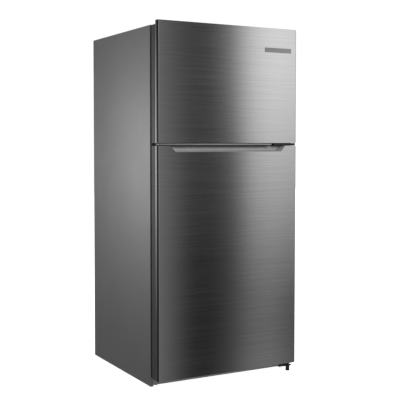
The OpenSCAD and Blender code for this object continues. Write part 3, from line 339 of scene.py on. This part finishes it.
# %% [markdown]
# ## Clear pieces
# The bins and drawers are clear styrene and the shelves are tempered glass. Both let light
# through, so they need transmission and a true refractive index. Iron in window glass is
# what makes it green, and most of that shows at the cut edge, where one looks through the
# whole width of the sheet.

# %% Clear finishes
GLASS_IOR = 1.5
shaded(
    "clear_plastic", grey(0.84), grey(0.92), 0.1, 30.0 * MM, 0.05 * MM,
    Transmission_Weight=0.78, IOR=GLASS_IOR,
)
shaded(
    "shelf_glass", (0.80, 0.93, 0.87), (0.84, 0.95, 0.90), 0.04, 60.0 * MM, 0.02 * MM,
    Transmission_Weight=0.95, IOR=GLASS_IOR,
)
shaded(
    "lens", grey(0.82), grey(0.88), 0.35, 3.0 * MM, 0.15 * MM, drift=0.03,
    Transmission_Weight=0.6, IOR=GLASS_IOR,
)
missing = sorted(set(slot_of.values()) - set(finishes))
print("finishes made:", len(finishes), "- slots without one:", missing)

# %% [markdown]
# ## Softened copies of the hard pieces
# A solid model has knife edges, and nothing made is like that: moulds have radii and cut
# sheet is deburred. So each piece is copied, its triangles are joined back into whole
# faces, and its sharp edges are bevelled by about the radius its maker would give it. The
# bevel eats into the piece and never grows it. Flat faces then keep flat normals and only
# the new round edges shade smoothly.

# %% Pieces, bodies and slots
def mesh_from(work, name):
    """A new mesh with the faces of a working mesh, which is then freed."""
    mesh = bpy.data.meshes.new(name)
    work.to_mesh(mesh)
    work.free()
    return mesh


def in_scene(name, mesh):
    """A new object that shows a mesh."""
    piece = bpy.data.objects.new(name, mesh)
    bpy.context.scene.collection.objects.link(piece)
    return piece


def dress(piece, slot_name, body):
    """Gives a piece the finish of a slot and puts it on a body."""
    piece.data.materials.clear()
    piece.data.materials.append(finishes[slot_name])
    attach(piece, body)


def stand_in(piece, node_name):
    """Makes a piece take a solid piece's finish, body and place."""
    dress(piece, slot_of[node_name], body_of[node_name])
    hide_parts(node_name)


print("tools for pieces ready")

# %% Softening tool
WELD_DISTANCE = 0.002 * MM
FLAT_ANGLE = math.radians(0.5)
SHARP_ANGLE = math.radians(32.0)
FLAT_WEIGHT = 80


def whole_faces(solid_mesh, name, join):
    """A mesh with doubled points welded and, if join is set, coplanar triangles joined."""
    work = bmesh.new()
    work.from_mesh(solid_mesh)
    bmesh.ops.remove_doubles(work, verts=work.verts, dist=WELD_DISTANCE)
    if join:
        bmesh.ops.dissolve_limit(work, angle_limit=FLAT_ANGLE, verts=work.verts, edges=work.edges)
    mesh = mesh_from(work, name)
    for extra in ("custom_normal", "sharp_face", "sharp_edge"):
        if extra in mesh.attributes:
            mesh.attributes.remove(mesh.attributes[extra])
    return mesh


def soften(node_name, radius):
    """A copy of a solid piece with its sharp edges rounded to radius, standing in for it."""
    solid = frame["nodes"][node_name].data
    piece = in_scene(node_name + "_finished", whole_faces(solid, node_name, radius > 0.0))
    piece.data.shade_smooth()
    piece.data.set_sharp_from_angle(angle=SHARP_ANGLE)
    if radius > 0.0:
        rounding = piece.modifiers.new("rounded edges", "BEVEL")
        rounding.width = radius
        rounding.segments = 2
        rounding.limit_method = "ANGLE"
        rounding.angle_limit = SHARP_ANGLE
        rounding.miter_outer = "MITER_ARC"
    flat_first = piece.modifiers.new("flat faces stay flat", "WEIGHTED_NORMAL")
    flat_first.keep_sharp = True
    flat_first.weight = FLAT_WEIGHT
    stand_in(piece, node_name)
    return piece


print("softening tool ready")

# %% [markdown]
# ## Edge radii, piece by piece
# The radii are in millimetres. Folded sheet keeps its bare rim, and so do pieces whose
# faces hold many holes: their radius is 0. Moulded trims get half a millimetre to one and
# a half, and thick moulded or drawn pieces a little more.

# %% Soften the pieces
EDGE_RADIUS = {
    "cabinet_wrap": 0.0, "base_pan": 0.0, "insulation_foam": 0.0,
    "freezer_liner": 0.4, "fridge_liner": 0.4, "cross_rail": 0.5, "kick_plate": 0.6,
    "top_hinge": 0.6, "hinge_cover": 1.6, "middle_hinge": 0.6, "bottom_hinge": 0.6,
    "hinge_screws": 0.3, "freezer_shelf": 0.0, "glass_shelves": 0.8, "shelf_fittings": 0.8,
    "crisper_cover": 0.8, "control_box": 2.0, "lamp_lens": 1.5, "door_switch": 0.8,
    "duct_panel": 0.6, "evaporator": 0.0, "fan_motors": 1.0, "compressor": 1.5,
    "compressor_mounts": 1.0, "condenser_coil": 0.0, "drip_tray": 1.0, "machine_cover": 0.0,
    "rear_spacers": 1.5, "power_inlet": 0.6, "freezer_door_skin": 0.0, "freezer_door_frame": 0.8,
    "freezer_door_foam": 0.0, "freezer_door_liner": 0.8, "freezer_door_bins": 0.8,
    "freezer_door_bushes": 0.4, "fridge_door_skin": 0.0, "fridge_door_frame": 0.8,
    "fridge_door_foam": 0.0, "fridge_door_liner": 0.8, "fridge_door_bins": 0.0,
    "fridge_door_bushes": 0.4, "grip_pocket": 0.8, "crisper_left": 0.8, "crisper_right": 0.8,
    "humidity_left": 0.5, "humidity_right": 0.5, "dairy_flap": 0.6, "temperature_knob": 0.8,
    "freezer_slider": 0.5, "switch_plunger": 0.6, "evaporator_fan": 0.3, "condenser_fan": 0.3,
    "roller_left": 0.6, "roller_right": 0.6, "foot_left": 1.0, "foot_right": 1.0,
    "badge_plate": 0.35,
}
finished = {}
for node_name, radius_mm in EDGE_RADIUS.items():
    finished[node_name] = soften(node_name, radius_mm * MM)
still_to_come = sorted(set(slot_of) - set(EDGE_RADIUS))
print("pieces softened:", len(finished), "- still to come:", still_to_come)

# %% [markdown]
# ## Door gaskets
# A gasket is an extruded vinyl section: a flat foot that locks into the door, two soft
# folds that let it squash, and a hollow head that holds a magnet strip. Its four lengths
# are welded at mitred corners. A thin outer lip reaches almost to the cabinet's side, and
# it is what makes the gap behind the door look black. At the hinge the lip is cut short,
# to clear the drawers when the door stands open. Here the section is a list of points,
# each as a share of the seal's width and depth. Each point becomes a rectangle round the
# door, and neighbouring rectangles are joined, which mitres the corners.

# %% Gasket section swept round the door
SEAL_WIDTH = 16.0 * MM
HINGE_LIP = 2.0 * MM
FOLD_ANGLE = math.radians(50.0)
FOOT_AND_FOLDS = [
    (0.30, 0.00), (0.34, 0.10), (0.22, 0.16), (0.12, 0.22), (0.10, 0.30), (0.22, 0.37),
    (0.30, 0.42), (0.22, 0.48), (0.10, 0.54), (0.03, 0.62),
]
MAGNET_HEAD = [(0.00, 0.90), (0.05, 1.00)]
OUTER_LIP = [(0.0, 0.64), (-0.9, 0.64), (-0.9, 0.69), (0.0, 0.70)]
outer_half = FOOT_AND_FOLDS + OUTER_LIP + MAGNET_HEAD
plain_half = FOOT_AND_FOLDS + [(0.00, 0.70)] + MAGNET_HEAD
inner_half = [(1.0 - across, deep) for across, deep in reversed(plain_half)]
seal_section = outer_half + inner_half


def gasket(node_name):
    """A bellows gasket in the box of the solid one."""
    low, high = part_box(node_name)
    work = bmesh.new()
    rings = []
    for across, deep in seal_section:
        inset = across * SEAL_WIDTH
        y = low[1] + deep * (high[1] - low[1])
        right_inset = max(inset, -HINGE_LIP)
        corners = (
            (low[0] + inset, low[2] + inset), (high[0] - right_inset, low[2] + inset),
            (high[0] - right_inset, high[2] - inset), (low[0] + inset, high[2] - inset),
        )
        rings.append([work.verts.new((x, y, z)) for x, z in corners])
    for here, there in zip(rings, rings[1:] + rings[:1]):
        for i in range(4):
            j = (i + 1) % 4
            work.faces.new((here[i], here[j], there[j], there[i]))
    bmesh.ops.recalc_face_normals(work, faces=work.faces)
    mesh = mesh_from(work, node_name + "_bellows")
    mesh.shade_smooth()
    mesh.set_sharp_from_angle(angle=FOLD_ANGLE)
    piece = in_scene(node_name + "_bellows", mesh)
    stand_in(piece, node_name)
    return piece


for seal in ("freezer_door_gasket", "fridge_door_gasket"):
    swept = gasket(seal)
    print(swept.name, len(swept.data.vertices), "points, mm:", [round(v / MM) for v in swept.dimensions])

# %% [markdown]
# ## Pressed back panel
# A thin flat sheet this size would drum, so the press adds stiffening beads: a ring near
# the rim and bars across the middle. The sheet is a fine grid whose points are lifted
# outwards near each bead, in a round-topped profile, and then given the sheet's thickness.

# %% Beaded back panel
BEAD_HALF = 11.0 * MM
BEAD_RISE = 3.0 * MM
RING_IN_SIDE = 70.0 * MM
RING_IN_END = 80.0 * MM
BAR_SHORTER = 60.0 * MM
BAR_OFFSETS = (-0.3, -0.1, 0.1, 0.3)
GRID_STEP = 5.5 * MM
BACK_SHEET = 0.8 * MM
panel_low, panel_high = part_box("back_panel")


def bead_lift(x, z):
    """How far the press lifts the sheet at a point, in metres."""
    ring_x = panel_high[0] - RING_IN_SIDE
    ring_low = panel_low[2] + RING_IN_END
    ring_high = panel_high[2] - RING_IN_END
    middle_z = (ring_low + ring_high) / 2.0
    distances = []
    if abs(x) <= ring_x:
        distances += [abs(z - ring_low), abs(z - ring_high)]
    if ring_low <= z <= ring_high:
        distances += [abs(abs(x) - ring_x)]
    if abs(x) <= ring_x - BAR_SHORTER:
        distances += [abs(z - middle_z - offset) for offset in BAR_OFFSETS]
    nearest = min(distances) if distances else 1.0
    if nearest >= BEAD_HALF:
        return 0.0
    return BEAD_RISE * (0.5 + 0.5 * math.cos(math.pi * nearest / BEAD_HALF))


columns = round((panel_high[0] - panel_low[0]) / GRID_STEP)
rows = round((panel_high[2] - panel_low[2]) / GRID_STEP)
work = bmesh.new()
sheet_points = []
for row in range(rows + 1):
    z = panel_low[2] + (panel_high[2] - panel_low[2]) * row / rows
    line = []
    for column in range(columns + 1):
        x = panel_low[0] + (panel_high[0] - panel_low[0]) * column / columns
        line.append(work.verts.new((x, panel_high[1] + bead_lift(x, z), z)))
    sheet_points.append(line)
for row in range(rows):
    for column in range(columns):
        below, above = sheet_points[row], sheet_points[row + 1]
        work.faces.new((below[column + 1], below[column], above[column], above[column + 1]))
panel_mesh = mesh_from(work, "back_panel_pressed")
panel_mesh.shade_smooth()
panel_piece = in_scene("back_panel_pressed", panel_mesh)
thickness = panel_piece.modifiers.new("sheet thickness", "SOLIDIFY")
thickness.thickness = BACK_SHEET
thickness.offset = -1.0
stand_in(panel_piece, "back_panel")
print("back panel:", columns, "by", rows, "cells")

# %% [markdown]
# ## Screws on the back
# Pan-head screws hold the back panel and the machine cover. One head is turned from a
# half outline, a cross is cut in its top, and the head is then copied to every place.
# All heads on the back become one piece, since nothing ever moves one without the rest.

# %% One screw head
HEAD_RADIUS = 4.2 * MM
HEAD_RISE = 2.2 * MM
HEAD_OUTLINE = [(1.0, 0.0), (1.0, 0.35), (0.93, 0.66), (0.78, 0.88), (0.5, 0.98), (0.0, 1.0)]
CROSS_LENGTH = 1.15 * HEAD_RADIUS
CROSS_WIDTH = 0.26 * HEAD_RADIUS
CROSS_REACH = 1.3


def carved(piece, cutter, cutter_crosses_itself=False):
    """The mesh left of a piece when a cutter is taken out of it; the cutter is removed."""
    cut = piece.modifiers.new("cut", "BOOLEAN")
    cut.object = cutter
    cut.operation = "DIFFERENCE"
    cut.use_self = cutter_crosses_itself
    bpy.context.view_layer.update()
    depsgraph = bpy.context.evaluated_depsgraph_get()
    mesh = bpy.data.meshes.new_from_object(piece.evaluated_get(depsgraph))
    piece.modifiers.remove(cut)
    bpy.data.objects.remove(cutter)
    return mesh


def head_blank():
    """A pan head without its recess, turned from a half outline, standing on z = 0."""
    work = bmesh.new()
    chain = [work.verts.new((r * HEAD_RADIUS, 0.0, h * HEAD_RISE)) for r, h in HEAD_OUTLINE]
    for first, second in zip(chain, chain[1:]):
        work.edges.new((first, second))
    bmesh.ops.spin(
        work, geom=work.verts[:] + work.edges[:], cent=(0, 0, 0), axis=(0, 0, 1),
        angle=2.0 * math.pi, steps=24, use_merge=True,
    )
    bmesh.ops.remove_doubles(work, verts=work.verts, dist=0.01 * MM)
    bmesh.ops.recalc_face_normals(work, faces=work.faces)
    return in_scene("head", mesh_from(work, "head"))


def cross_cutter():
    """Two crossed bars that reach down into the head's top."""
    work = bmesh.new()
    for turn_by in (0.0, math.pi / 2.0):
        made = bmesh.ops.create_cube(work, size=1.0)["verts"]
        for vert in made:
            x = vert.co.x * CROSS_LENGTH
            y = vert.co.y * CROSS_WIDTH
            vert.co = Vector((
                x * math.cos(turn_by) - y * math.sin(turn_by),
                x * math.sin(turn_by) + y * math.cos(turn_by),
                HEAD_RISE * (1.0 + vert.co.z * CROSS_REACH),
            ))
    return in_scene("cross", mesh_from(work, "cross"))


head = head_blank()
head_mesh = carved(head, cross_cutter(), cutter_crosses_itself=True)
bpy.data.objects.remove(head)
print("one head:", len(head_mesh.polygons), "faces")

# %% Heads set on the back
HEAD_EDGE_ANGLE = math.radians(40.0)
EDGE_TO_SCREW = 12.0 * MM
SCREWS_UP_THE_SIDE = (0.04, 0.28, 0.52, 0.76, 0.98)
SCREWS_ALONG_THE_TOP = (-0.18, 0.0, 0.18)
SCREWS_ALONG_THE_COVER = (-0.36, -0.2, 0.08, 0.2, 0.36)


def set_heads(name, places, way_out, slot_name, body):
    """Copies of the head at places, standing out along way_out, as one piece."""
    work = bmesh.new()
    facing = Vector(way_out).to_track_quat("Z", "Y").to_matrix().to_4x4()
    for place in places:
        before = set(work.verts)
        work.from_mesh(head_mesh)
        for vert in set(work.verts) - before:
            vert.co = facing @ vert.co + Vector(place)
    mesh = mesh_from(work, name)
    mesh.shade_smooth()
    mesh.set_sharp_from_angle(angle=HEAD_EDGE_ANGLE)
    dress(in_scene(name, mesh), slot_name, body)


cover_low, cover_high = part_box("machine_cover")
back_places = []
for share in SCREWS_UP_THE_SIDE:
    z = panel_low[2] + share * (panel_high[2] - panel_low[2])
    for side in (-1, 1):
        back_places.append((side * (panel_high[0] - EDGE_TO_SCREW), panel_high[1], z))
for x in SCREWS_ALONG_THE_TOP:
    back_places.append((x, panel_high[1], panel_high[2] - EDGE_TO_SCREW))
for x in SCREWS_ALONG_THE_COVER:
    for z in (cover_low[2] + EDGE_TO_SCREW, cover_high[2] - EDGE_TO_SCREW):
        back_places.append((x, cover_high[1], z))
set_heads("back_screws", back_places, (0, 1, 0), "screw_zinc", "cabinet")
print("heads on the back:", len(back_places))

# %% [markdown]
# ## Between the doors
# Three small things fill the slot between the two doors. The lower door carries a steel
# trim along its top, on a narrower foot set back under it; the foot is black as painted
# shade, standing for the shadowed gap below the trim. A black moulded sleeve hides the hinge
# bracket from the front, and a round well in it leaves the pins and their bushes free to
# turn. A light spacer on the cross rail closes the bracket's inner end. Each is a block
# with moulded edges. The sleeve and the trim are thinner than the slot, so the doors
# swing past them.

# %% Moulded blocks
def moulded_block(name, low, high, radius, slot_name, body):
    """A block with rounded edges between two corners, riding on a body."""
    work = bmesh.new()
    made = bmesh.ops.create_cube(work, size=1.0)["verts"]
    for vert in made:
        vert.co = Vector([low[i] + (vert.co[i] + 0.5) * (high[i] - low[i]) for i in range(3)])
    bmesh.ops.bevel(
        work, geom=work.edges[:] + work.verts[:], offset=radius, segments=3,
        profile=0.5, affect="EDGES", clamp_overlap=True,
    )
    mesh = mesh_from(work, name)
    mesh.shade_smooth()
    piece = in_scene(name, mesh)
    flat_first = piece.modifiers.new("flat faces stay flat", "WEIGHTED_NORMAL")
    flat_first.weight = FLAT_WEIGHT
    dress(piece, slot_name, body)
    return piece


door_low, door_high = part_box("fridge_door_skin")
upper_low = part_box("freezer_door_skin")[0]
hinge_low, hinge_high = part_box("middle_hinge")
rail_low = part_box("cross_rail")[0]
slot_low = door_high[2]
slot_high = upper_low[2]
TRIM_INSET = 3.0 * MM
TRIM_SETBACK = 2.0 * MM
TRIM_FROM = 4.0 * MM
TRIM_TO = 9.5 * MM
TRIM_TO_HINGE = 12.0 * MM
FOOT_INSET = 6.0 * MM
FOOT_SETBACK = 9.0 * MM
FOOT_MARGIN = 3.0 * MM
FOOT_FROM = -1.0 * MM
FOOT_TO = 4.5 * MM
SLEEVE_SHIFT = 3.0 * MM
SLEEVE_AHEAD = 16.0 * MM
SLEEVE_BEHIND = 40.0 * MM
SLEEVE_PLAY = 0.8 * MM
SPACER_FAR_END = 36.0 * MM
SPACER_NEAR_END = 2.0 * MM
SPACER_AHEAD = 5.0 * MM
SPACER_PLAY = 1.0 * MM
trim_end = hinge_low[0] - TRIM_TO_HINGE
moulded_block(
    "lower_door_top_trim",
    (door_low[0] + TRIM_INSET, door_low[1] + TRIM_SETBACK, slot_low + TRIM_FROM),
    (trim_end, door_high[1], slot_low + TRIM_TO),
    1.0 * MM, "rail_steel", "fridge_door",
)
# Painted shade: the foot under the trim is black to stand for the shadowed gap below it.
moulded_block(
    "lower_door_trim_foot_painted_shade",
    (door_low[0] + FOOT_INSET, door_low[1] + FOOT_SETBACK, slot_low + FOOT_FROM),
    (trim_end - FOOT_MARGIN, door_high[1] - FOOT_MARGIN, slot_low + FOOT_TO),
    0.5 * MM, "hinge_black", "fridge_door",
)
sleeve = moulded_block(
    "middle_hinge_sleeve",
    (hinge_low[0] + SLEEVE_SHIFT, hinge_low[1] - SLEEVE_AHEAD, slot_low + SLEEVE_PLAY),
    (hinge_high[0] + SLEEVE_SHIFT, hinge_low[1] + SLEEVE_BEHIND, slot_high - SLEEVE_PLAY),
    1.5 * MM, "hinge_black", "cabinet",
)
moulded_block(
    "rail_spacer",
    (hinge_low[0] - SPACER_FAR_END, rail_low[1] - SPACER_AHEAD, slot_low + SPACER_PLAY),
    (hinge_low[0] - SPACER_NEAR_END, rail_low[1], slot_high - SPACER_PLAY),
    1.0 * MM, "trim_white", "cabinet",
)
print("slot between the doors, mm:", round((slot_high - slot_low) / MM, 1))

# %% Well for the hinge pins in the sleeve
WELL_EDGE_ANGLE = math.radians(50.0)
PIN_PLAY = 0.5 * MM


def cut_well(piece, x, y, radius):
    """Cuts an upright round hole, right through a piece."""
    work = bmesh.new()
    bmesh.ops.create_cone(
        work, cap_ends=True, segments=48, radius1=radius, radius2=radius, depth=100.0 * MM,
    )
    for vert in work.verts:
        vert.co += Vector((x, y, (slot_low + slot_high) / 2.0))
    well = in_scene("well", mesh_from(work, "well"))
    piece.modifiers.clear()
    piece.data = carved(piece, well)
    piece.data.shade_smooth()
    piece.data.set_sharp_from_angle(angle=WELL_EDGE_ANGLE)


bush_low, bush_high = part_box("fridge_door_bushes")
cut_well(
    sleeve, (bush_low[0] + bush_high[0]) / 2.0, (bush_low[1] + bush_high[1]) / 2.0,
    (bush_high[0] - bush_low[0]) / 2.0 + PIN_PLAY,
)
print("sleeve after the cut:", len(sleeve.data.polygons), "faces")

# %% [markdown]
# ## Dark bends of the door sheets
# The steel sheet is wrapped over the door's corners, and a thin black strip covers each
# bend as a painted dark reflection: it stands in for the dark line that the rounded bend
# mirrors. The strip follows the bend and then the sheet's side, so its section is an arc
# that runs on into a straight line, drawn as a ribbon and extruded to the height of the
# door. The sheet gives way by a hair's breadth at each side, so that the strip doesn't
# stand out past the door.

# %% Painted dark reflections on the bends
BEND_RADIUS = 6.0 * MM
REFLECTION_STRIP_LIFT = 0.12 * MM
SHEET_GIVE = 0.15 * MM
REFLECTION_STRIP_ALONG_SIDE = 9.0 * MM
END_GAP = 1.0 * MM
FIRST_ANGLE = 40.0
ARC_STEPS = 8


def make_room(node_name):
    """Brings the sides of a door sheet in, to make room for the painted dark reflection strip."""
    low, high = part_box(node_name)
    for vert in finished[node_name].data.vertices:
        vert.co.x *= (high[0] - SHEET_GIVE) / high[0]


def painted_bend_reflection(node_name, side):
    """A black strip over one upright bend of a door sheet, a painted dark reflection; side is -1 left or 1
    right.
    """
    low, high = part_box(node_name)
    centre_x = side * (high[0] - SHEET_GIVE - BEND_RADIUS)
    centre_y = low[1] + BEND_RADIUS
    reach = BEND_RADIUS + REFLECTION_STRIP_LIFT
    section = []
    for step in range(ARC_STEPS + 1):
        angle = math.radians(FIRST_ANGLE + (90.0 - FIRST_ANGLE) * step / ARC_STEPS)
        x = centre_x + side * reach * math.sin(angle)
        section.append((x, centre_y - reach * math.cos(angle)))
    section.append((centre_x + side * reach, centre_y + REFLECTION_STRIP_ALONG_SIDE))
    work = bmesh.new()
    pairs = [
        [work.verts.new((x, y, z)) for z in (low[2] + END_GAP, high[2] - END_GAP)]
        for x, y in section
    ]
    for here, there in zip(pairs, pairs[1:]):
        face = (here[0], there[0], there[1], here[1])
        work.faces.new(face if side > 0 else face[::-1])
    mesh = mesh_from(work, node_name + "_painted_reflection")
    mesh.shade_smooth()
    piece = in_scene(node_name + ("_painted_reflection_right" if side > 0 else "_painted_reflection_left"), mesh)
    # Painted dark reflection: the strip takes the black hinge finish.
    dress(piece, "hinge_black", body_of[node_name])
    return piece


for skin in ("freezer_door_skin", "fridge_door_skin"):
    make_room(skin)
    painted_bend_reflections = [painted_bend_reflection(skin, side) for side in (-1, 1)]
    print("films:", [film.name for film in painted_bend_reflections])

# %% [markdown]
# ## The studio: surroundings that the steel can mirror
# Polished steel shows its surroundings more than itself, so the surroundings are designed
# for it. The doors mirror a narrow stretch ahead and to the right: it goes from grey
# through near black to a bright wall, once for eye height and above and once for low
# down, and a dark waist between them deepens the middle. A window behind on the left
# lights the doors' narrow sides. All of it is painted on the world by compass direction,
# with 0 degrees straight ahead of the doors, and by height above the horizon. The backdrop
# that the camera sees is plain white.

# %% Surroundings
world = bpy.data.worlds.new("studio")
bpy.context.scene.world = world
world.use_nodes = True
sky = world.node_tree
sky.nodes.clear()


def sky_node(kind, **settings):
    """A node in the world's tree."""
    node = sky.nodes.new(kind)
    for setting, value in settings.items():
        setattr(node, setting, value)
    return node


def sky_math(operation, first, second):
    """One sum on two numbers or outputs."""
    node = sky_node("ShaderNodeMath", operation=operation)
    for socket, value in zip(node.inputs, (first, second)):
        if isinstance(value, (int, float)):
            socket.default_value = value
        else:
            sky.links.new(value, socket)
    return node.outputs[0]


def sky_ramp(factor, stops):
    """A smooth curve through (position, brightness) stops."""
    node = sky_node("ShaderNodeValToRGB")
    points = node.color_ramp.elements
    points[0].position = stops[0][0]
    points[0].color = (*grey(stops[0][1]), 1.0)
    points[1].position = stops[-1][0]
    points[1].color = (*grey(stops[-1][1]), 1.0)
    for position, level in stops[1:-1]:
        point = points.new(position)
        point.color = (*grey(level), 1.0)
    sky.links.new(factor, node.inputs["Fac"])
    return node.outputs["Color"]


direction = sky_node("ShaderNodeTexCoord").outputs["Generated"]
split = sky_node("ShaderNodeSeparateXYZ")
sky.links.new(direction, split.inputs["Vector"])
ahead = sky_math("MULTIPLY", split.outputs["Y"], -1.0)
compass = sky_math("ARCTAN2", split.outputs["X"], ahead)
turn = sky_math("ADD", sky_math("DIVIDE", compass, 2.0 * math.pi), 0.5)
rise = sky_math("ADD", sky_math("MULTIPLY", split.outputs["Z"], 0.5), 0.5)


def by_compass(*pairs):
    """Ramp stops from (degrees from straight ahead, brightness)."""
    return [(degrees / 360.0 + 0.5, level) for degrees, level in pairs]


def by_height(*pairs):
    """Ramp stops from (degrees above the horizon, brightness)."""
    return [(0.5 * math.sin(math.radians(degrees)) + 0.5, level) for degrees, level in pairs]


print("world mapped by compass and height")

# %% Bands, waist and window
HIGH_BAND = (
    (25.3, 0.269), (26.2, 0.269), (26.8, 0.114), (27.5, 0.066), (28.2, 0.057), (29.0, 0.044), (29.8, 0.046),
    (30.6, 0.232), (31.4, 0.154), (32.2, 0.702), (33.0, 2.390), (33.8, 1.164), (34.6, 1.120), (36.0, 1.120),
)
LOW_BAND = (
    (25.3, 0.278), (26.2, 0.278), (26.8, 0.125), (27.5, 0.019), (28.2, 0.013), (29.0, 0.006), (29.8, 0.013),
    (30.6, 0.034), (31.4, 0.042), (32.2, 0.113), (33.0, 0.384), (33.8, 0.155), (34.6, 0.022), (36.0, 0.022),
)
high_ring = sky_ramp(turn, by_compass(
    (-180, 0.6), (-171, 0.5), (-163, 0.12), (-130, 0.05), (-90, 0.03), (-14, 0.03),
    (-6, 0.55), (2, 0.75), (10, 0.5), (20, 0.2), *HIGH_BAND,
    (50, 0.9), (62, 0.4), (90, 0.35), (125, 0.6), (180, 0.6),
))
low_ring = sky_ramp(turn, by_compass(
    (-180, 0.4), (-171, 0.35), (-163, 0.08), (-130, 0.04), (-90, 0.03), (-14, 0.03),
    (-6, 0.25), (2, 0.35), (10, 0.3), (20, 0.18), *LOW_BAND,
    (50, 0.2), (62, 0.2), (90, 0.25), (125, 0.4), (180, 0.4),
))
band_height = by_height((-90, 0.6), (-25, 0.3), (-11, 0.0), (-5.8, 0.27), (5, 1.0), (20, 1.3), (90, 1.6))
window = sky_ramp(turn, by_compass(
    (-180, 0.0), (-170, 0.03), (-161, 0.1), (-154.2, 1.0), (-143, 1.0), (-133, 0.1), (180, 0.0),
))
window_height = by_height((-90, 0.0), (-12, 0.0), (-7, 0.3), (-2, 1.0), (2, 0.7), (8, 0.0), (90, 0.0))


def sky_mix(kind, first, second, share=None):
    """Two sky colours combined; share, if given, says how much of the second is used."""
    node = sky_node("ShaderNodeMixRGB", blend_type=kind)
    node.inputs["Fac"].default_value = 1.0
    sky.links.new(first, node.inputs["Color1"])
    sky.links.new(second, node.inputs["Color2"])
    if share is not None:
        sky.links.new(share, node.inputs["Fac"])
    return node.outputs["Color"]


lit = sky_mix("MIX", low_ring, high_ring, sky_ramp(rise, band_height))
waist_sides = sky_ramp(turn, by_compass(
    (-180, 0.0), (26.5, 0.0), (28.4, 1.0), (30.8, 1.0), (32.0, 0.0), (180, 0.0),
))
waist_height = sky_ramp(rise, by_height(
    (-90, 0.0), (-11, 0.0), (-8, 1.0), (-1, 1.0), (4, 0.0), (90, 0.0),
))
lit = sky_mix("MIX", lit, low_ring, sky_mix("MULTIPLY", waist_sides, waist_height))
lit = sky_mix("ADD", lit, sky_mix("MULTIPLY", window, sky_ramp(rise, window_height)))
far_glow = sky_ramp(rise, by_height(
    (-90, 0.6), (-28, 0.45), (-19, 0.0), (20, 0.0), (45, 0.5), (90, 0.8),
))
glow_sides = sky_ramp(turn, by_compass(
    (-180, 1.0), (-165, 0.65), (-20, 0.65), (10, 1.0), (20, 0.05), (40, 0.05), (50, 1.0), (180, 1.0),
))
lit = sky_mix("ADD", lit, sky_mix("MULTIPLY", far_glow, glow_sides))
studio_light = sky_node("ShaderNodeBackground")
studio_light.inputs["Strength"].default_value = 1.0
sky.links.new(lit, studio_light.inputs["Color"])
backdrop = sky_node("ShaderNodeBackground")
backdrop.inputs["Color"].default_value = (1.0, 1.0, 1.0, 1.0)
backdrop.inputs["Strength"].default_value = 1.05
choose = sky_node("ShaderNodeMixShader")
seen = sky_node("ShaderNodeLightPath")
straight_or_through = sky_math(
    "MAXIMUM", seen.outputs["Is Camera Ray"], seen.outputs["Is Transmission Ray"],
)
sky.links.new(straight_or_through, choose.inputs["Fac"])
sky.links.new(studio_light.outputs["Background"], choose.inputs[1])
sky.links.new(backdrop.outputs["Background"], choose.inputs[2])
world_out = sky_node("ShaderNodeOutputWorld")
sky.links.new(choose.outputs["Shader"], world_out.inputs["Surface"])
print("surroundings built with", len(sky.nodes), "nodes")

# %% [markdown]
# ## Floor and soft lamps
# The floor is a wide pale sheet that glows a little, so that it runs into the white
# backdrop without a line. A large lamp stands far off in front, throws no hard shadow and
# reaches into the open cabinet. A small one stands close to the painted side, so its light
# fades toward the back and the foot. Both are kept out of the mirror-like steel, which
# already has the surroundings above.

# %% Floor
work = bmesh.new()
bmesh.ops.create_grid(work, x_segments=1, y_segments=1, size=14.0)
floor = in_scene("floor", mesh_from(work, "floor"))
floor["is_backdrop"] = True
floor_tree, floor_shader = start_finish("floor_pale")
set_base(floor_tree, floor_shader, cloud(floor_tree, 2.0), grey(0.86), grey(0.88))
floor_shader.inputs["Roughness"].default_value = 0.9
floor_shader.inputs["Emission Color"].default_value = (1.0, 1.0, 1.0, 1.0)
floor_shader.inputs["Emission Strength"].default_value = 0.85
floor.data.materials.append(finishes["floor_pale"])
floor.visible_glossy = False
floor.visible_diffuse = False
print("floor at", round(floor.location.z, 3))


# %% Lamps
def soft_lamp(name, place, target, size, watts):
    """A rectangular lamp that lights but is not mirrored."""
    light = bpy.data.lights.new(name, "AREA")
    light.shape = "RECTANGLE"
    light.size = size[0]
    light.size_y = size[1]
    light.energy = watts
    lamp_object = bpy.data.objects.new(name, light)
    bpy.context.scene.collection.objects.link(lamp_object)
    lamp_object.location = place
    aim = Vector(target) - Vector(place)
    lamp_object.rotation_euler = aim.to_track_quat("-Z", "Y").to_euler()
    lamp_object.visible_glossy = False
    lamp_object.visible_camera = False


soft_lamp("front_lamp", (0.6, -4.2, 2.6), (0.0, 0.0, 0.9), (2.4, 1.8), 150.0)
soft_lamp("side_lamp", (-1.0, -0.28, 1.08), (0.0, -0.28, 1.08), (0.4, 0.3), 3.8)

# %% [markdown]
# ## The camera
# It stands to the left of the doors at chest height and looks very slightly down. The
# long lens keeps upright edges nearly parallel, and a small shift centres the cabinet.

# %% Camera
TILT_DOWN = 2.346
TURN_RIGHT = 28.852
camera_data = bpy.data.cameras.new("camera")
camera = bpy.data.objects.new("camera", camera_data)
bpy.context.scene.collection.objects.link(camera)
camera.location = (-2.0461, -3.8188, 1.1259)
camera.rotation_euler = (math.radians(90.0 - TILT_DOWN), 0.0, math.radians(-TURN_RIGHT))
camera_data.sensor_width = 36.0
camera_data.lens = 74.17
camera_data.shift_x = 0.0158
camera_data.shift_y = -0.07
camera_data.clip_end = 60.0
bpy.context.scene.camera = camera
bpy.context.scene.view_settings.view_transform = "Standard"
print("camera", [round(v, 3) for v in camera.location])

# %% Sizes and finish
dressed_low, dressed_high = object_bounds()
solid_size = solid_high - solid_low
dressed_size = dressed_high - dressed_low
growth = [round((b - a) / MM, 2) for a, b in zip(solid_size, dressed_size)]
print("dressed minus solid, mm:", growth)
